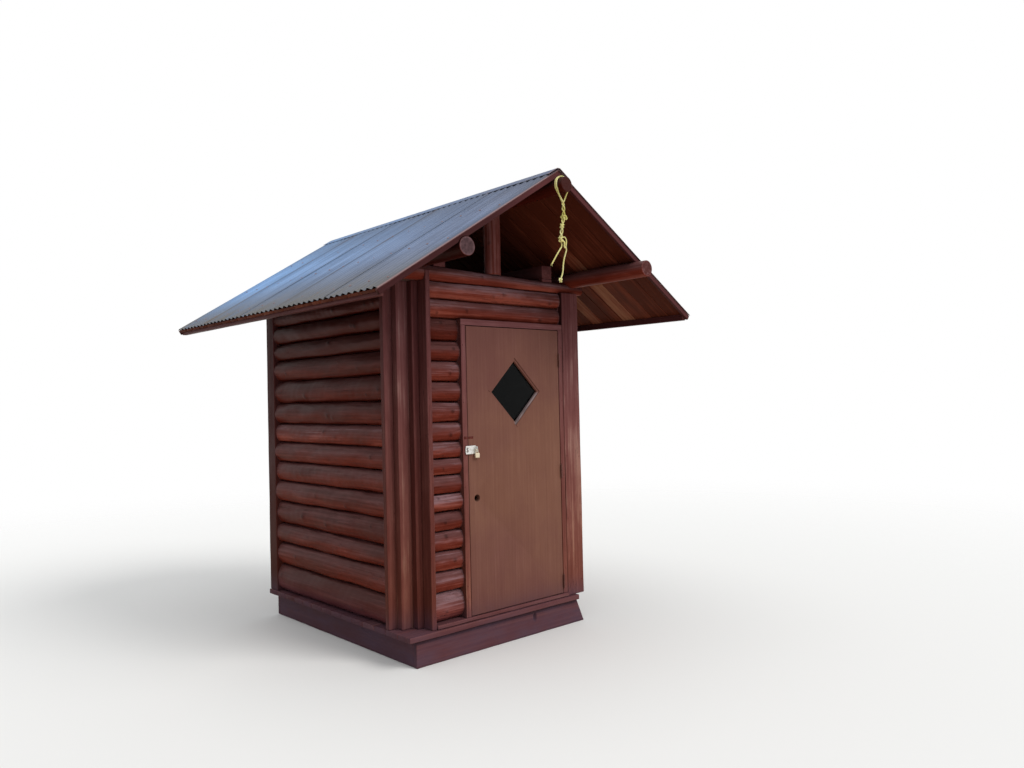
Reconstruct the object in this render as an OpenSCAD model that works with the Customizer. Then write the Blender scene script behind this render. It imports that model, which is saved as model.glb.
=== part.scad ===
// Log outhouse with an open gable, a corrugated roof and one hinged door.
// Millimetres. X runs along the front, Y to the back, Z up from the ground.
// The ridge lies over X = 0 and the middle of the roof over Y = 0.

/* [House body] */
// Depth of the house from the front face to the back face
house_d = 2017; // [1700:1:2400]
// Thickness of the log walls
wall_t = 120; // [100:1:125]
// How far the front logs stop short of the left wall's outer face
corner_inset = 194; // [180:1:210]
// Length of the short logs on the left of the door
short_log_len = 257; // [200:1:320]
// Height of the two logs over the door
over_door_h = 255; // [220:1:300]
// How far the side walls rise above the front wall
wall_rise = 43; // [38:1:50]
// How far the logs lie behind the face of the trim boards
log_reveal = 12; // [6:1:18]

/* [Base] */
// Height of the base beams
skirt_h = 184; // [140:1:235]
// Thickness of the base beams
skirt_t = 38; // [32:1:50]
// Thickness of the deck boards
deck_t = 38; // [28:1:45]
// How far the deck sticks out in front of the wall
deck_nose = 30; // [20:1:45]
// Number of deck boards from front to back
deck_count = 14; // [11:1:17]
// Thickness of the threshold on the deck
sill_t = 28; // [20:1:35]

/* [Door] */
// Width of the door slab
door_w = 914; // [760:1:960]
// Height of the door slab
door_h = 2032; // [1980:1:2100]
// Thickness of the door slab
door_t = 44; // [40:1:48]
// Gap between the door slab and its frame
door_gap = 5; // [5:0.5:7]
// Thickness of the door frame boards
jamb_t = 44; // [38:1:50]
// Half of the diagonal of the diamond window
diamond_r = 250; // [180:1:280]
// How far the middle of the diamond lies below the door's top
diamond_drop = 469; // [432:1:632]
// Radius of the round hole in the door
peep_r = 25; // [15:1:30]
// Height of the round hole above the door's foot
peep_h = 816; // [700:1:900]
// Height of the hasp above the door's foot
hasp_level = 1159; // [1000:1:1250]
// Height of a hinge
hinge_h = 100; // [75:1:125]

/* [Trim] */
// Face width of the narrow upright at the left end of the front
left_trim_w = 38; // [32:1:45]
// Depth of the narrow upright at the left end of the front
left_trim_d = 101; // [90:1:110]
// Width of the board at the right end of the front
right_trim_w = 184; // [150:1:200]
// Thickness of the board at the right end of the front
right_trim_t = 38; // [25:1:45]

/* [Roof] */
// Slope of the roof in degrees
pitch = 32; // [28:0.5:36]
// Roof overhang at the front
front_overhang = 636; // [500:1:700]
// Roof overhang at the back
rear_overhang = 355; // [250:1:450]
// Level distance from the ridge to the edge of the metal
roof_half = 1465; // [1350:1:1550]
// Thickness of the roof boards
board_t = 20; // [16:1:25]
// Depth of the corrugations
wave_depth = 13; // [10:1:18]
// Thickness of the sheet metal
sheet_t = 1.2; // [1:0.1:1.6]
// Number of sheets on each slope
sheet_count = 5; // [4:1:6]
// Radius of the ridge log
ridge_r = 54; // [50:1:60]
// Radius of the king posts
king_r = 65; // [55:1:70]
// Radius of the plate logs on the side walls
plate_r = 63; // [56:1:66]
// Width of the two beams that lie on the tie logs
beam_w = 106; // [80:1:130]
// Height of the two beams that lie on the tie logs
beam_h = 104; // [80:1:130]
// Radius of the tie logs at their butt ends
tie_butt_r = 60; // [55:1:65]
// Radius of the tie logs at their tips
tie_tip_r = 41; // [38:1:50]

/* [Hidden] */

// Gap between the pieces of one wall, floor or roof, so that each stays a solid of its own
joint_gap = 0.5;
// Clearance of a round seat
seat_gap = 0.3;
// How far two parts of one solid reach into each other
lap = 1;

// Levels
deck_z = skirt_h + deck_t;
sill_z = deck_z + sill_t;
slab_z0 = sill_z + door_gap;
slab_z1 = slab_z0 + door_h;
head_z0 = slab_z1 + door_gap;
head_z1 = head_z0 + jamb_t;
tie_z = head_z1 + over_door_h;
plate_seat_z = tie_z + wall_rise;

// Places along Y
roof_len = front_overhang + house_d + rear_overhang;
roof_y0 = -roof_len / 2;
roof_y1 = roof_len / 2;
front_y = roof_y0 + front_overhang;
rear_y = front_y + house_d;
log_y0 = front_y + log_reveal;
front_in_y = log_y0 + wall_t;

// Places along X, from the left wall's outer face to the right wall's
right_reveal = 15;
house_w = corner_inset + left_trim_w + short_log_len + 2 * jamb_t + 2 * door_gap + door_w
          + right_trim_w + right_reveal;
wall_x = house_w / 2;
trim_x0 = -wall_x + corner_inset;
trim_x1 = trim_x0 + left_trim_w;
jamb_x0 = trim_x1 + short_log_len;
jamb_x1 = jamb_x0 + jamb_t;
slab_x0 = jamb_x1 + door_gap;
slab_x1 = slab_x0 + door_w;
rjamb_x0 = slab_x1 + door_gap;
rjamb_x1 = rjamb_x0 + jamb_t;

// Roof levels, worked out from the plate logs on the side walls up to the ridge
plate_inset = 45;
plate_x = wall_x - plate_inset;
plate_flat = 2;
plate_z = plate_seat_z + plate_r - plate_flat;
apex_z = plate_z + (plate_r + seat_gap) / cos(pitch) + plate_x * tan(pitch);
ridge_drop = 22;
ridge_z = apex_z - (ridge_r + seat_gap) / cos(pitch) - ridge_drop;
// Height of the underside of the roof boards at a place x
function under_z(x) = apex_z - abs(x) * tan(pitch);

// Colours
barn_red = [0.36, 0.14, 0.10];
door_brown = [0.45, 0.28, 0.22];
zinc = [0.55, 0.62, 0.70];
steel = [0.75, 0.76, 0.76];
glass_dark = [0.06, 0.09, 0.09];
rope_yellow = [0.80, 0.75, 0.25];

// Box between two corners
module span(a, b) {
    translate(a) cube(b - a);
}

// Outline in X and Z, pushed from y0 to y1
module push_y(y0, y1) {
    translate([0, y1, 0]) rotate([90, 0, 0]) linear_extrude(y1 - y0) children();
}

// Round bar along Y
module bar_y(x, z, y0, y1, r) {
    translate([x, y0, z]) rotate([-90, 0, 0]) cylinder(h = y1 - y0, r = r, $fn = 72);
}

// Relative heights of the logs of a wall, from the deck up, and of the roof boards from the front
side_mix = [220, 180, 155, 185, 170, 160, 160, 150, 170, 180, 170, 135, 145, 120, 110];
short_mix = [200, 140, 135, 135, 130, 125, 125, 115, 115, 130, 140, 140, 140, 140, 155];
over_door_mix = [130, 125];
board_mix = [139, 160, 172, 138, 110, 110, 120, 150, 138, 165, 120, 142, 155, 128, 160, 135, 148, 140,
             152, 130, 146];
function total(v, n, i = 0) = i < n ? v[i] + total(v, n, i + 1) : 0;

// One log of a wall along X from 0 to length: its round face at Y = 0, sawn flat inside, hewn flat
// above and below, and tapering from its butt to its tip
bulge = 0.66;
taper = 0.03;
module wall_log(length, h, butt_first) {
    butt = bulge * h;
    tip = butt - taper * h;
    intersection() {
        span([0, 0, joint_gap / 2], [length, wall_t, h - joint_gap / 2]);
        translate([0, butt, h / 2]) rotate([0, 90, 0])
            cylinder(h = length, r1 = butt_first ? butt : tip, r2 = butt_first ? tip : butt, $fn = 72);
    }
}

// A stack of logs from level z0 to z1, with butts and tips by turns
module log_stack(length, z0, z1, mix) {
    k = (z1 - z0) / total(mix, len(mix));
    for (i = [0 : len(mix) - 1])
        translate([0, 0, z0 + k * total(mix, i)]) wall_log(length, k * mix[i], i % 2 == 0);
}

// Base: beams on the ground, joists between them and the deck. The front beam's right end is
// sawn at a slant.
skirt_x0 = -wall_x + 62;
skirt_x1 = wall_x - 105;
skirt_y0 = front_y + 2;
skirt_y1 = rear_y - 6;
skirt_cut = 80;
joist_step = (skirt_x1 - skirt_x0 - skirt_t) / 4;
deck_x0 = -wall_x - 10;
deck_x1 = wall_x - 50;

module front_skirt() {
    color(barn_red) push_y(skirt_y0, skirt_y0 + skirt_t)
        polygon([[skirt_x0, 0], [skirt_x1 + skirt_cut, 0], [skirt_x1, skirt_h], [skirt_x0, skirt_h]]);
}

// Beam under the deck from front to back
module floor_beam(x) {
    span([x, skirt_y0 + skirt_t, 0], [x + skirt_t, skirt_y1 - skirt_t, skirt_h]);
}

module side_skirts() {
    color(barn_red) for (x = [skirt_x0, skirt_x1 - skirt_t]) floor_beam(x);
}

module rear_skirt() {
    color(barn_red) span([skirt_x0, skirt_y1 - skirt_t, 0], [skirt_x1, skirt_y1, skirt_h]);
}

module floor_joists() {
    color(barn_red) for (i = [1 : 3]) floor_beam(skirt_x0 + i * joist_step);
}

module floor_boards() {
    y0 = front_y - deck_nose;
    step = (rear_y - y0 + joint_gap) / deck_count;
    color(barn_red) for (i = [0 : deck_count - 1])
        span([deck_x0, y0 + i * step, skirt_h],
             [i == 0 ? skirt_x1 : deck_x1, y0 + (i + 1) * step - joint_gap, deck_z]);
}

sill_nose = 12;
module threshold() {
    color(barn_red) span([trim_x1, front_y - sill_nose, deck_z], [rjamb_x1, front_in_y, sill_z]);
}

// Uprights of the front left corner, each one set back behind the next
strip_w = 84;
strip_d = 58;
post_w = 126;
post_d = 64;
end_board_w = 120;
end_board_d = 45;
end_board_lap = 5;
post_inset = 59;
post_x0 = -wall_x + post_inset;
strip_y0 = front_y + left_trim_d;
post_y0 = strip_y0 + strip_d;
end_board_y0 = post_y0 + post_d;
end_board_y1 = end_board_y0 + end_board_d;
tongue_d = 45;
tongue_h = 64;

module left_end_board() {
    x0 = -wall_x - end_board_lap;
    color(barn_red) span([x0, end_board_y0, deck_z], [x0 + end_board_w, end_board_y1, plate_seat_z]);
}

module corner_post() {
    color(barn_red) span([post_x0, post_y0, deck_z], [post_x0 + post_w, end_board_y0, tie_z]);
}

module corner_strip() {
    color(barn_red) span([trim_x1 - strip_w, strip_y0, deck_z], [trim_x1, post_y0, tie_z]);
}

// The narrow upright ends in a tongue that laps the tie log
module left_trim() {
    color(barn_red) union() {
        span([trim_x0, front_y, deck_z], [trim_x1, strip_y0, tie_z]);
        span([trim_x0, front_y, tie_z - lap], [trim_x1, front_y + tongue_d, tie_z + tongue_h]);
    }
}

module right_trim() {
    color(barn_red) span([rjamb_x1, front_y, deck_z],
                         [rjamb_x1 + right_trim_w, front_y + right_trim_t, tie_z]);
}

module right_corner_post() {
    color(barn_red) span([rjamb_x1, front_y + right_trim_t, deck_z],
                         [rjamb_x1 + right_trim_w, front_in_y, tie_z]);
}

rear_post_w = 130;
module rear_corner_posts() {
    color(barn_red) for (x = [-wall_x, wall_x - rear_post_w])
        span([x, rear_y - rear_post_w, deck_z], [x + rear_post_w, rear_y, tie_z]);
}

// Log walls
rear_post_y = rear_y - rear_post_w;
module left_wall() {
    color(barn_red) translate([-wall_x, rear_post_y, 0]) rotate([0, 0, -90])
        log_stack(rear_post_y - end_board_y1, deck_z, plate_seat_z, side_mix);
}

module right_wall() {
    color(barn_red) translate([wall_x, front_in_y, 0]) rotate([0, 0, 90])
        log_stack(rear_post_y - front_in_y, deck_z, plate_seat_z, side_mix);
}

module rear_wall() {
    color(barn_red) translate([wall_x - rear_post_w, rear_y, 0]) rotate([0, 0, 180])
        log_stack(2 * (wall_x - rear_post_w), deck_z, tie_z, side_mix);
}

module short_logs() {
    color(barn_red) translate([trim_x1, log_y0, 0])
        log_stack(short_log_len, sill_z, head_z1, short_mix);
}

module over_door_logs() {
    color(barn_red) translate([trim_x1, log_y0, 0])
        log_stack(rjamb_x1 - trim_x1, head_z1, tie_z, over_door_mix);
}

// Tie logs across the front and back walls. Their undersides are hewn level, and flats and
// saddles are cut for the posts, beams and plate logs that they carry.
tie_end = wall_x + 75;
tie_hewn = 8;
tie_front_y = front_y + tie_butt_r;
tie_rear_y = rear_y - tie_butt_r;
flat_cut = 8;
king_flat = 5;
beam_flat = 3;
beam_x = 520;
foot_d = 84;
function tie_r(x) = tie_butt_r + (tie_tip_r - tie_butt_r) * (x + tie_end) / (2 * tie_end);
// Level of a flat cut in a tie log at a place x, counted from its butt's side
function flat_z(x) = tie_z - tie_hewn + 2 * tie_r(x) - flat_cut;

// Space over a flat that is cut in a tie log on both sides of a place x
module log_flat(y, x, half, z) {
    reach = 2 * tie_butt_r;
    span([x - half, y - reach, z], [x + half, y + reach, z + 2 * reach]);
}

// side is 1 where the butt is on the left and -1 where it is on the right. The ends are bevelled
// under the roof boards.
module tie_log(y, side) {
    fall = atan((tie_butt_r - tie_tip_r) / (2 * tie_end));
    reach = 2 * tie_butt_r;
    difference() {
        intersection() {
            mirror([side < 0 ? 1 : 0, 0, 0])
                translate([-tie_end, y, tie_z + tie_butt_r - tie_hewn]) rotate([0, 90 + fall, 0])
                    cylinder(h = 2 * tie_end, r1 = tie_butt_r, r2 = tie_tip_r, $fn = 72);
            span([-tie_end, y - reach, tie_z], [tie_end, y + reach, tie_z + 2 * reach]);
        }
        log_flat(y, 0, king_r + king_flat, flat_z(0));
        for (s = [-1, 1]) {
            log_flat(y, s * beam_x, beam_w / 2 + beam_flat, flat_z(side * s * beam_x));
            bar_y(s * plate_x, plate_z, y - reach, y + reach, plate_r + seat_gap);
        }
        push_y(y - reach, y + reach) for (s = [-1, 1])
            polygon([[0, apex_z - seat_gap], [s * roof_half, under_z(roof_half) - seat_gap],
                     [s * roof_half, apex_z]]);
    }
}

module front_tie_log() {
    color(barn_red) difference() {
        tie_log(tie_front_y, 1);
        span([trim_x0 - seat_gap, front_y - lap, tie_z - lap],
             [trim_x1 + seat_gap, front_y + tongue_d + seat_gap, tie_z + tongue_h + seat_gap]);
    }
}

module rear_tie_log() {
    color(barn_red) tie_log(tie_rear_y, -1);
}

// Door frame
stop_w = 12;
stop_d = 35;
slab_y0 = front_y + 2;
slab_y1 = slab_y0 + door_t;
stop_y0 = slab_y1 + door_gap;
stop_y1 = stop_y0 + stop_d;

module left_jamb() {
    color(barn_red) span([jamb_x0, front_y, sill_z], [jamb_x1, front_in_y, head_z0]);
}

module right_jamb() {
    color(barn_red) span([rjamb_x0, front_y, sill_z], [rjamb_x1, front_in_y, head_z0]);
}

module head_jamb() {
    color(barn_red) span([jamb_x0, front_y, head_z0], [rjamb_x1, front_in_y, head_z1]);
}

module door_stops() {
    color(barn_red) union() {
        span([jamb_x1, stop_y0, sill_z], [jamb_x1 + stop_w, stop_y1, head_z0]);
        span([rjamb_x0 - stop_w, stop_y0, sill_z], [rjamb_x0, stop_y1, head_z0]);
        span([jamb_x1, stop_y0, head_z0 - stop_w], [rjamb_x0, stop_y1, head_z0]);
    }
}

// Roof frame: king posts carry the ridge log, and the side walls carry the plate logs. The ridge
// log and the plate logs stick out past the barge boards, and each plate log further at one end
// than at the other. Two beams lie on the tie logs.
barge_t = 25;
barge_d = 38;
frame_y0 = roof_y0 + barge_t;
frame_y1 = roof_y1 - barge_t;
ridge_out = 76;
plate_out = 96;
plate_in = 7;
end_bevel = 5;

module ridge_log() {
    y0 = roof_y0 - ridge_out;
    y1 = roof_y1 + ridge_out;
    color(barn_red) union() {
        bar_y(0, ridge_z, y0 + end_bevel, y1 - end_bevel, ridge_r);
        for (side = [0, 1])
            mirror([0, side, 0]) translate([0, y0, ridge_z]) rotate([-90, 0, 0])
                cylinder(h = end_bevel + lap, r1 = ridge_r - end_bevel - lap, r2 = ridge_r, $fn = 72);
    }
}

module king_posts() {
    color(barn_red) for (y = [tie_front_y, tie_rear_y])
        difference() {
            translate([0, y, flat_z(0)]) cylinder(h = ridge_z - flat_z(0), r = king_r, $fn = 72);
            bar_y(0, ridge_z, y - 2 * king_r, y + 2 * king_r, ridge_r + seat_gap);
        }
}

// Each beam lies level on the thicker tie log and has a foot on the thinner one
module tie_beams() {
    y0 = tie_front_y - foot_d / 2;
    y1 = tie_rear_y + foot_d / 2;
    low = flat_z(beam_x);
    high = flat_z(-beam_x);
    color(barn_red) for (s = [-1, 1]) {
        x0 = s * beam_x - beam_w / 2;
        foot_y = s > 0 ? y0 : y1 - foot_d;
        union() {
            span([x0, y0, high], [x0 + beam_w, y1, high + beam_h]);
            span([x0, foot_y, low], [x0 + beam_w, foot_y + foot_d, high + lap]);
        }
    }
}

module plate_logs() {
    color(barn_red) for (s = [-1, 1]) {
        y0 = roof_y0 - (s < 0 ? plate_in : plate_out);
        y1 = roof_y1 + (s < 0 ? plate_out : plate_in);
        intersection() {
            bar_y(s * plate_x, plate_z, y0, y1, plate_r);
            span([s * plate_x - 2 * plate_r, y0, plate_seat_z],
                 [s * plate_x + 2 * plate_r, y1, plate_seat_z + 4 * plate_r]);
        }
    }
}

// Roof boards run up the slope. A thin barge board covers their ends at each gable and is notched
// over the plate logs.
metal_nose = 15;
board_x = roof_half - metal_nose - board_t * sin(pitch);
board_top = board_t / cos(pitch);

// Outline of the boards on the right slope, which reaches down by low under them
module slope_outline(low) {
    foot = board_x - low * sin(pitch) * cos(pitch);
    polygon([[joint_gap / 2, under_z(0) - low], [foot, under_z(foot) - low],
             [board_x + board_t * sin(pitch), under_z(board_x) + board_t * cos(pitch)],
             [joint_gap / 2, under_z(0) + board_top]]);
}

module roof_boards() {
    k = (frame_y1 - frame_y0) / total(board_mix, len(board_mix));
    for (i = [0 : len(board_mix) - 1])
        push_y(frame_y0 + k * total(board_mix, i) + joint_gap / 2,
               frame_y0 + k * total(board_mix, i + 1) - joint_gap / 2) slope_outline(0);
}

module left_roof_boards() {
    color(barn_red) mirror([1, 0, 0]) roof_boards();
}

module right_roof_boards() {
    color(barn_red) roof_boards();
}

module barge_boards() {
    low = (barge_d - board_t) / cos(pitch);
    color(barn_red) for (side = [0, 1], y = [roof_y0, frame_y1])
        mirror([side, 0, 0]) difference() {
            push_y(y, y + barge_t) slope_outline(low);
            bar_y(plate_x, plate_z, y - lap, y + barge_t + lap, plate_r + seat_gap);
        }
}

eave_strip_w = 38;
eave_strip_h = 50;
eave_inset = 12;
eave_x1 = board_x - eave_inset;
module eave_strips() {
    x0 = eave_x1 - eave_strip_w;
    color(barn_red) for (side = [0, 1])
        mirror([side, 0, 0]) push_y(frame_y0, frame_y1)
            polygon([[x0, under_z(x0) - eave_strip_h], [eave_x1, under_z(x0) - eave_strip_h],
                     [eave_x1, under_z(eave_x1)], [x0, under_z(x0)]]);
}

// Corrugated sheets. Every other sheet lies on top at the laps.
metal_side = 8;
metal_len = roof_len + 2 * metal_side;
waves = 9;
wave = metal_len / (sheet_count * waves);
slope_len = roof_half / cos(pitch) - (board_t + wave_depth) * tan(pitch);
wave_steps = 8;

// Section across a sheet from one wave to another
module sheet_outline(first, last) {
    steps = round((last - first) * wave_steps);
    xs = [for (i = [0 : steps]) (first + i / wave_steps) * wave];
    rise = [for (x = xs) wave_depth / 2 * (1 - cos(360 * x / wave))];
    polygon(concat([for (i = [0 : steps]) [xs[i], rise[i]]],
                   [for (i = [steps : -1 : 0]) [xs[i], rise[i] + sheet_t]]));
}

module roof_sheets() {
    for (k = [0 : sheet_count - 1]) {
        lift = k % 2 == 0 ? seat_gap : sheet_t + 2 * seat_gap;
        first = k == 0 ? 0 : k * waves - 0.5;
        last = k == sheet_count - 1 ? sheet_count * waves : (k + 1) * waves + 0.5;
        translate([joint_gap / 2, -metal_len / 2, apex_z + board_top])
            rotate([0, 90 + pitch, 0]) rotate([0, 0, 90]) translate([0, lift, 0])
                linear_extrude(slope_len) sheet_outline(first, last);
    }
}

module left_roof_sheets() {
    color(zinc) mirror([1, 0, 0]) roof_sheets();
}

module right_roof_sheets() {
    color(zinc) roof_sheets();
}

cap_w = 110;
module ridge_cap() {
    low = apex_z + (board_t + wave_depth + 2 * sheet_t + 3 * seat_gap) / cos(pitch);
    high = low + sheet_t / cos(pitch);
    reach = cap_w * cos(pitch);
    fall = cap_w * sin(pitch);
    color(zinc) push_y(-metal_len / 2, metal_len / 2)
        polygon([[0, low], [reach, low - fall], [reach, high - fall],
                 [0, high], [-reach, high - fall], [-reach, low - fall]]);
}

// Door slab with its diamond window and round hole
diamond_x = (slab_x0 + slab_x1) / 2;
peep_inset = 70;
peep_x = slab_x0 + peep_inset;
pane_t = 4;
pane_inset = 24;
pane_y0 = slab_y0 + pane_inset;
lip_w = 16;
lip_d = 12;
bead_w = 18;

// Diamond prism of half diagonal r
module diamond(r, y0, y1) {
    push_y(y0, y1) translate([diamond_x, slab_z1 - diamond_drop])
        polygon([[-r, 0], [0, -r], [r, 0], [0, r]]);
}

// Frame of four strips round the diamond, w wide
module diamond_frame(w, y0, y1) {
    difference() {
        diamond(diamond_r, y0, y1);
        diamond(diamond_r - w * sqrt(2), y0 - lap, y1 + lap);
    }
}

module door_slab() {
    color(door_brown) difference() {
        span([slab_x0, slab_y0, slab_z0], [slab_x1, slab_y1, slab_z1]);
        diamond(diamond_r, slab_y0 - lap, slab_y1 + lap);
        bar_y(peep_x, slab_z0 + peep_h, slab_y0 - lap, slab_y1 + lap, peep_r);
    }
}

module window_beads() {
    color(barn_red) {
        diamond_frame(lip_w, pane_y0 - lip_d, pane_y0);
        diamond_frame(bead_w, pane_y0 + pane_t, slab_y1);
    }
}

module window_pane() {
    color(glass_dark) diamond(diamond_r, pane_y0, pane_y0 + pane_t);
}

// Butt hinges with their barrels in front of the door's right edge
hinge_foot = 92;
hinge_rise = 850;
hinge_drop = 232;
hinge_zs = [slab_z0 + hinge_foot, slab_z0 + hinge_foot + hinge_rise, slab_z1 - hinge_drop];
barrel_r = 6;
pin_r = 3;
leaf_t = 1.9;
leaf_w = 30;
axis_x = (slab_x1 + rjamb_x0) / 2;
axis_out = 8;
axis_y = front_y - axis_out;

// Leaves between x0 and x1 with every other knuckle, counted from start, bored for the pin
module hinge_half(x0, x1, start, bore) {
    knuckle = hinge_h / 5;
    for (z = hinge_zs) translate([0, 0, z - hinge_h / 2]) difference() {
        union() {
            span([x0, slab_y0, 0], [x1, slab_y0 + leaf_w, hinge_h]);
            for (k = [start : 2 : 4]) translate([0, 0, k * knuckle + joint_gap / 2]) {
                translate([axis_x, axis_y, 0]) cylinder(h = knuckle - joint_gap, r = barrel_r, $fn = 32);
                span([x0, axis_y, 0], [x1, slab_y0 + lap, knuckle - joint_gap]);
            }
        }
        translate([axis_x, axis_y, -lap]) cylinder(h = hinge_h + 2 * lap, r = bore, $fn = 32);
    }
}

module frame_hinges() {
    color(steel) {
        hinge_half(rjamb_x0 - leaf_t, rjamb_x0, 0, pin_r);
        for (z = hinge_zs)
            translate([axis_x, axis_y, z - hinge_h / 2]) cylinder(h = hinge_h, r = pin_r, $fn = 32);
    }
}

module door_hinges() {
    color(steel) hinge_half(slab_x1, slab_x1 + leaf_t, 1, pin_r + seat_gap);
}

// Hasp screwed to the door. Its slotted strap reaches over a staple on the frame.
hasp_z = slab_z0 + hasp_level;
hasp_h = 58;
hasp_t = 2;
hasp_lap = 65;
hasp_reach = 32;
hasp_x0 = slab_x0 - hasp_reach;
hasp_x1 = slab_x0 + hasp_lap;
hasp_pin_r = 5;
hasp_pin_x = slab_x0 + hasp_lap - 35;
hasp_pin_y = slab_y0 - hasp_pin_r - joint_gap;
hasp_y0 = slab_y0 - hasp_t;
strap_gap = 7;
strap_y1 = front_y - strap_gap;
strap_y0 = strap_y1 - hasp_t;
slot_w = 16;
slot_h = 34;
slot_rim = 6;
staple_x = hasp_x0 + slot_rim + slot_w / 2;
staple_w = 24;
staple_h = 34;
staple_t = 1.5;
staple_wire_r = 2.5;
staple_bend_r = 9;
eye_x0 = hasp_x1 - hasp_t;
eye_d = 24;
eye_y = slab_y0 - 15;
eye_z = hasp_z + 4;
eye_r = 4.5;
eye_low = 12;
eye_high = 6;

module hasp() {
    z0 = hasp_z - hasp_h / 2;
    z1 = hasp_z + hasp_h / 2;
    color(steel) difference() {
        union() {
            span([hasp_pin_x, hasp_y0, z0], [hasp_x1, slab_y0, z1]);
            translate([hasp_pin_x, hasp_pin_y, z0]) cylinder(h = hasp_h, r = hasp_pin_r, $fn = 32);
            span([hasp_x0, strap_y0, z0], [hasp_pin_x, strap_y1, z1]);
            span([eye_x0, slab_y0 - eye_d, z0 + eye_low], [hasp_x1, slab_y0, z1 - eye_high]);
        }
        span([staple_x - slot_w / 2, strap_y0 - lap, hasp_z - slot_h / 2],
             [staple_x + slot_w / 2, strap_y1 + lap, hasp_z + slot_h / 2]);
        translate([eye_x0 - lap, eye_y, eye_z]) rotate([0, 90, 0])
            cylinder(h = hasp_t + 2 * lap, r = eye_r, $fn = 32);
    }
}

// Half ring of wire with its bend at the origin, in the X = 0 plane, reaching towards -Y
module half_ring(bend_r, wire_r) {
    reach = bend_r + wire_r + lap;
    intersection() {
        rotate([0, 90, 0]) rotate_extrude($fn = 48) translate([bend_r, 0]) circle(r = wire_r, $fn = 24);
        span([-reach, -reach, -reach], [reach, 0, reach]);
    }
}

module staple() {
    bend_y = strap_y0 - 3;
    color(steel) union() {
        span([staple_x - staple_w / 2, front_y - staple_t, hasp_z - staple_h / 2],
             [staple_x + staple_w / 2, front_y, hasp_z + staple_h / 2]);
        for (s = [-1, 1])
            bar_y(staple_x, hasp_z + s * staple_bend_r, bend_y, front_y - staple_t / 2, staple_wire_r);
        translate([staple_x, bend_y, hasp_z]) half_ring(staple_bend_r, staple_wire_r);
    }
}

// Open padlock that hangs from the eye
lock_w = 38;
lock_h = 33;
lock_t = 16;
shackle_r = 3;
shackle_bend_r = 9;
shackle_leg = 18;
module padlock() {
    x = (eye_x0 + hasp_x1) / 2;
    bend_z = eye_z - eye_r + seat_gap - (shackle_bend_r - shackle_r);
    body_z = bend_z - shackle_leg;
    color(steel) union() {
        span([x - lock_w / 2, eye_y - lock_t / 2, body_z - lock_h],
             [x + lock_w / 2, eye_y + lock_t / 2, body_z]);
        for (s = [-1, 1])
            translate([x + s * shackle_bend_r, eye_y, body_z - lap])
                cylinder(h = shackle_leg + lap, r = shackle_r, $fn = 24);
        translate([x, eye_y, bend_z]) rotate([-90, 0, 90]) half_ring(shackle_bend_r, shackle_r);
    }
}

// Rope over the ridge log's front end. The short strand starts on top of the log and goes down its
// left side. The long one comes up beside it from where they meet, goes over the log and down its
// right side. Both twist round each other through three knots and hang free.
rope_r = 5;
rope_sides = 8;
short_points = [
    [0, -1530, 3246], [-16, -1530, 3244], [-31, -1530, 3237], [-44, -1530, 3227],
    [-53, -1530, 3214], [-58, -1530, 3198], [-59, -1530, 3182], [-56, -1530, 3166],
    [-48, -1530, 3152], [-27, -1530, 3124], [-6, -1527, 3098], [12, -1522, 3080],
    [20.9, -1530, 3063], [14, -1522.1, 3044], [7.1, -1530, 3024], [15, -1537.9, 3004],
    [22.9, -1530, 2984], [12, -1522.1, 2965], [-1.9, -1530, 2945], [0, -1537.9, 2925],
    [3.9, -1530, 2905], [-7, -1522.1, 2886], [-18.9, -1530, 2866], [-15, -1537.9, 2846],
    [-11.1, -1530, 2826], [-10, -1528, 2809], [-9, -1530, 2791], [-13, -1530, 2773],
    [-27, -1530, 2755], [-41, -1530, 2738], [-56, -1530, 2719], [-71, -1530, 2699],
    [-85, -1530, 2680], [-98, -1530, 2662], [-108, -1530, 2649]];
long_points = [
    [-2, -1543, 3074], [-18, -1542, 3097], [-37, -1542, 3122], [-48, -1542, 3152],
    [-56, -1542, 3166], [-59, -1542, 3182], [-58, -1542, 3198], [-53, -1542, 3214],
    [-44, -1542, 3227], [-31, -1542, 3237], [-16, -1542, 3244], [0, -1542, 3246],
    [15, -1542, 3244], [29, -1542, 3238], [41, -1542, 3229], [51, -1542, 3218], [57, -1542, 3204],
    [59, -1542, 3189], [58, -1542, 3174], [53, -1542, 3160], [38, -1542, 3136], [26, -1539, 3108],
    [12, -1538, 3080], [5.1, -1530, 3063], [14, -1537.9, 3044], [22.9, -1530, 3024],
    [15, -1522.1, 3004], [7.1, -1530, 2984], [12, -1537.9, 2965], [13.9, -1530, 2945],
    [0, -1522.1, 2925], [-11.9, -1530, 2905], [-7, -1537.9, 2886], [-3.1, -1530, 2866],
    [-15, -1522.1, 2846], [-26.9, -1530, 2826], [-18, -1540, 2813], [1, -1542, 2807],
    [19, -1536, 2794], [29, -1530, 2775], [33, -1530, 2757], [27, -1530, 2738], [19, -1530, 2718],
    [11, -1530, 2698], [5, -1530, 2678], [1, -1530, 2659], [-2, -1530, 2639], [-4, -1530, 2619],
    [-8, -1530, 2599], [-15, -1530, 2581], [-23, -1530, 2566], [-29, -1530, 2550]];
// Each knot's middle and radius
knots = [[[15, -1530, 2976], 14], [[-3, -1530, 2915], 13],
         [[-19, -1530, 2824], 15], [[-29, -1530, 2550], 12]];

function unit(v) = v / norm(v);

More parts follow.
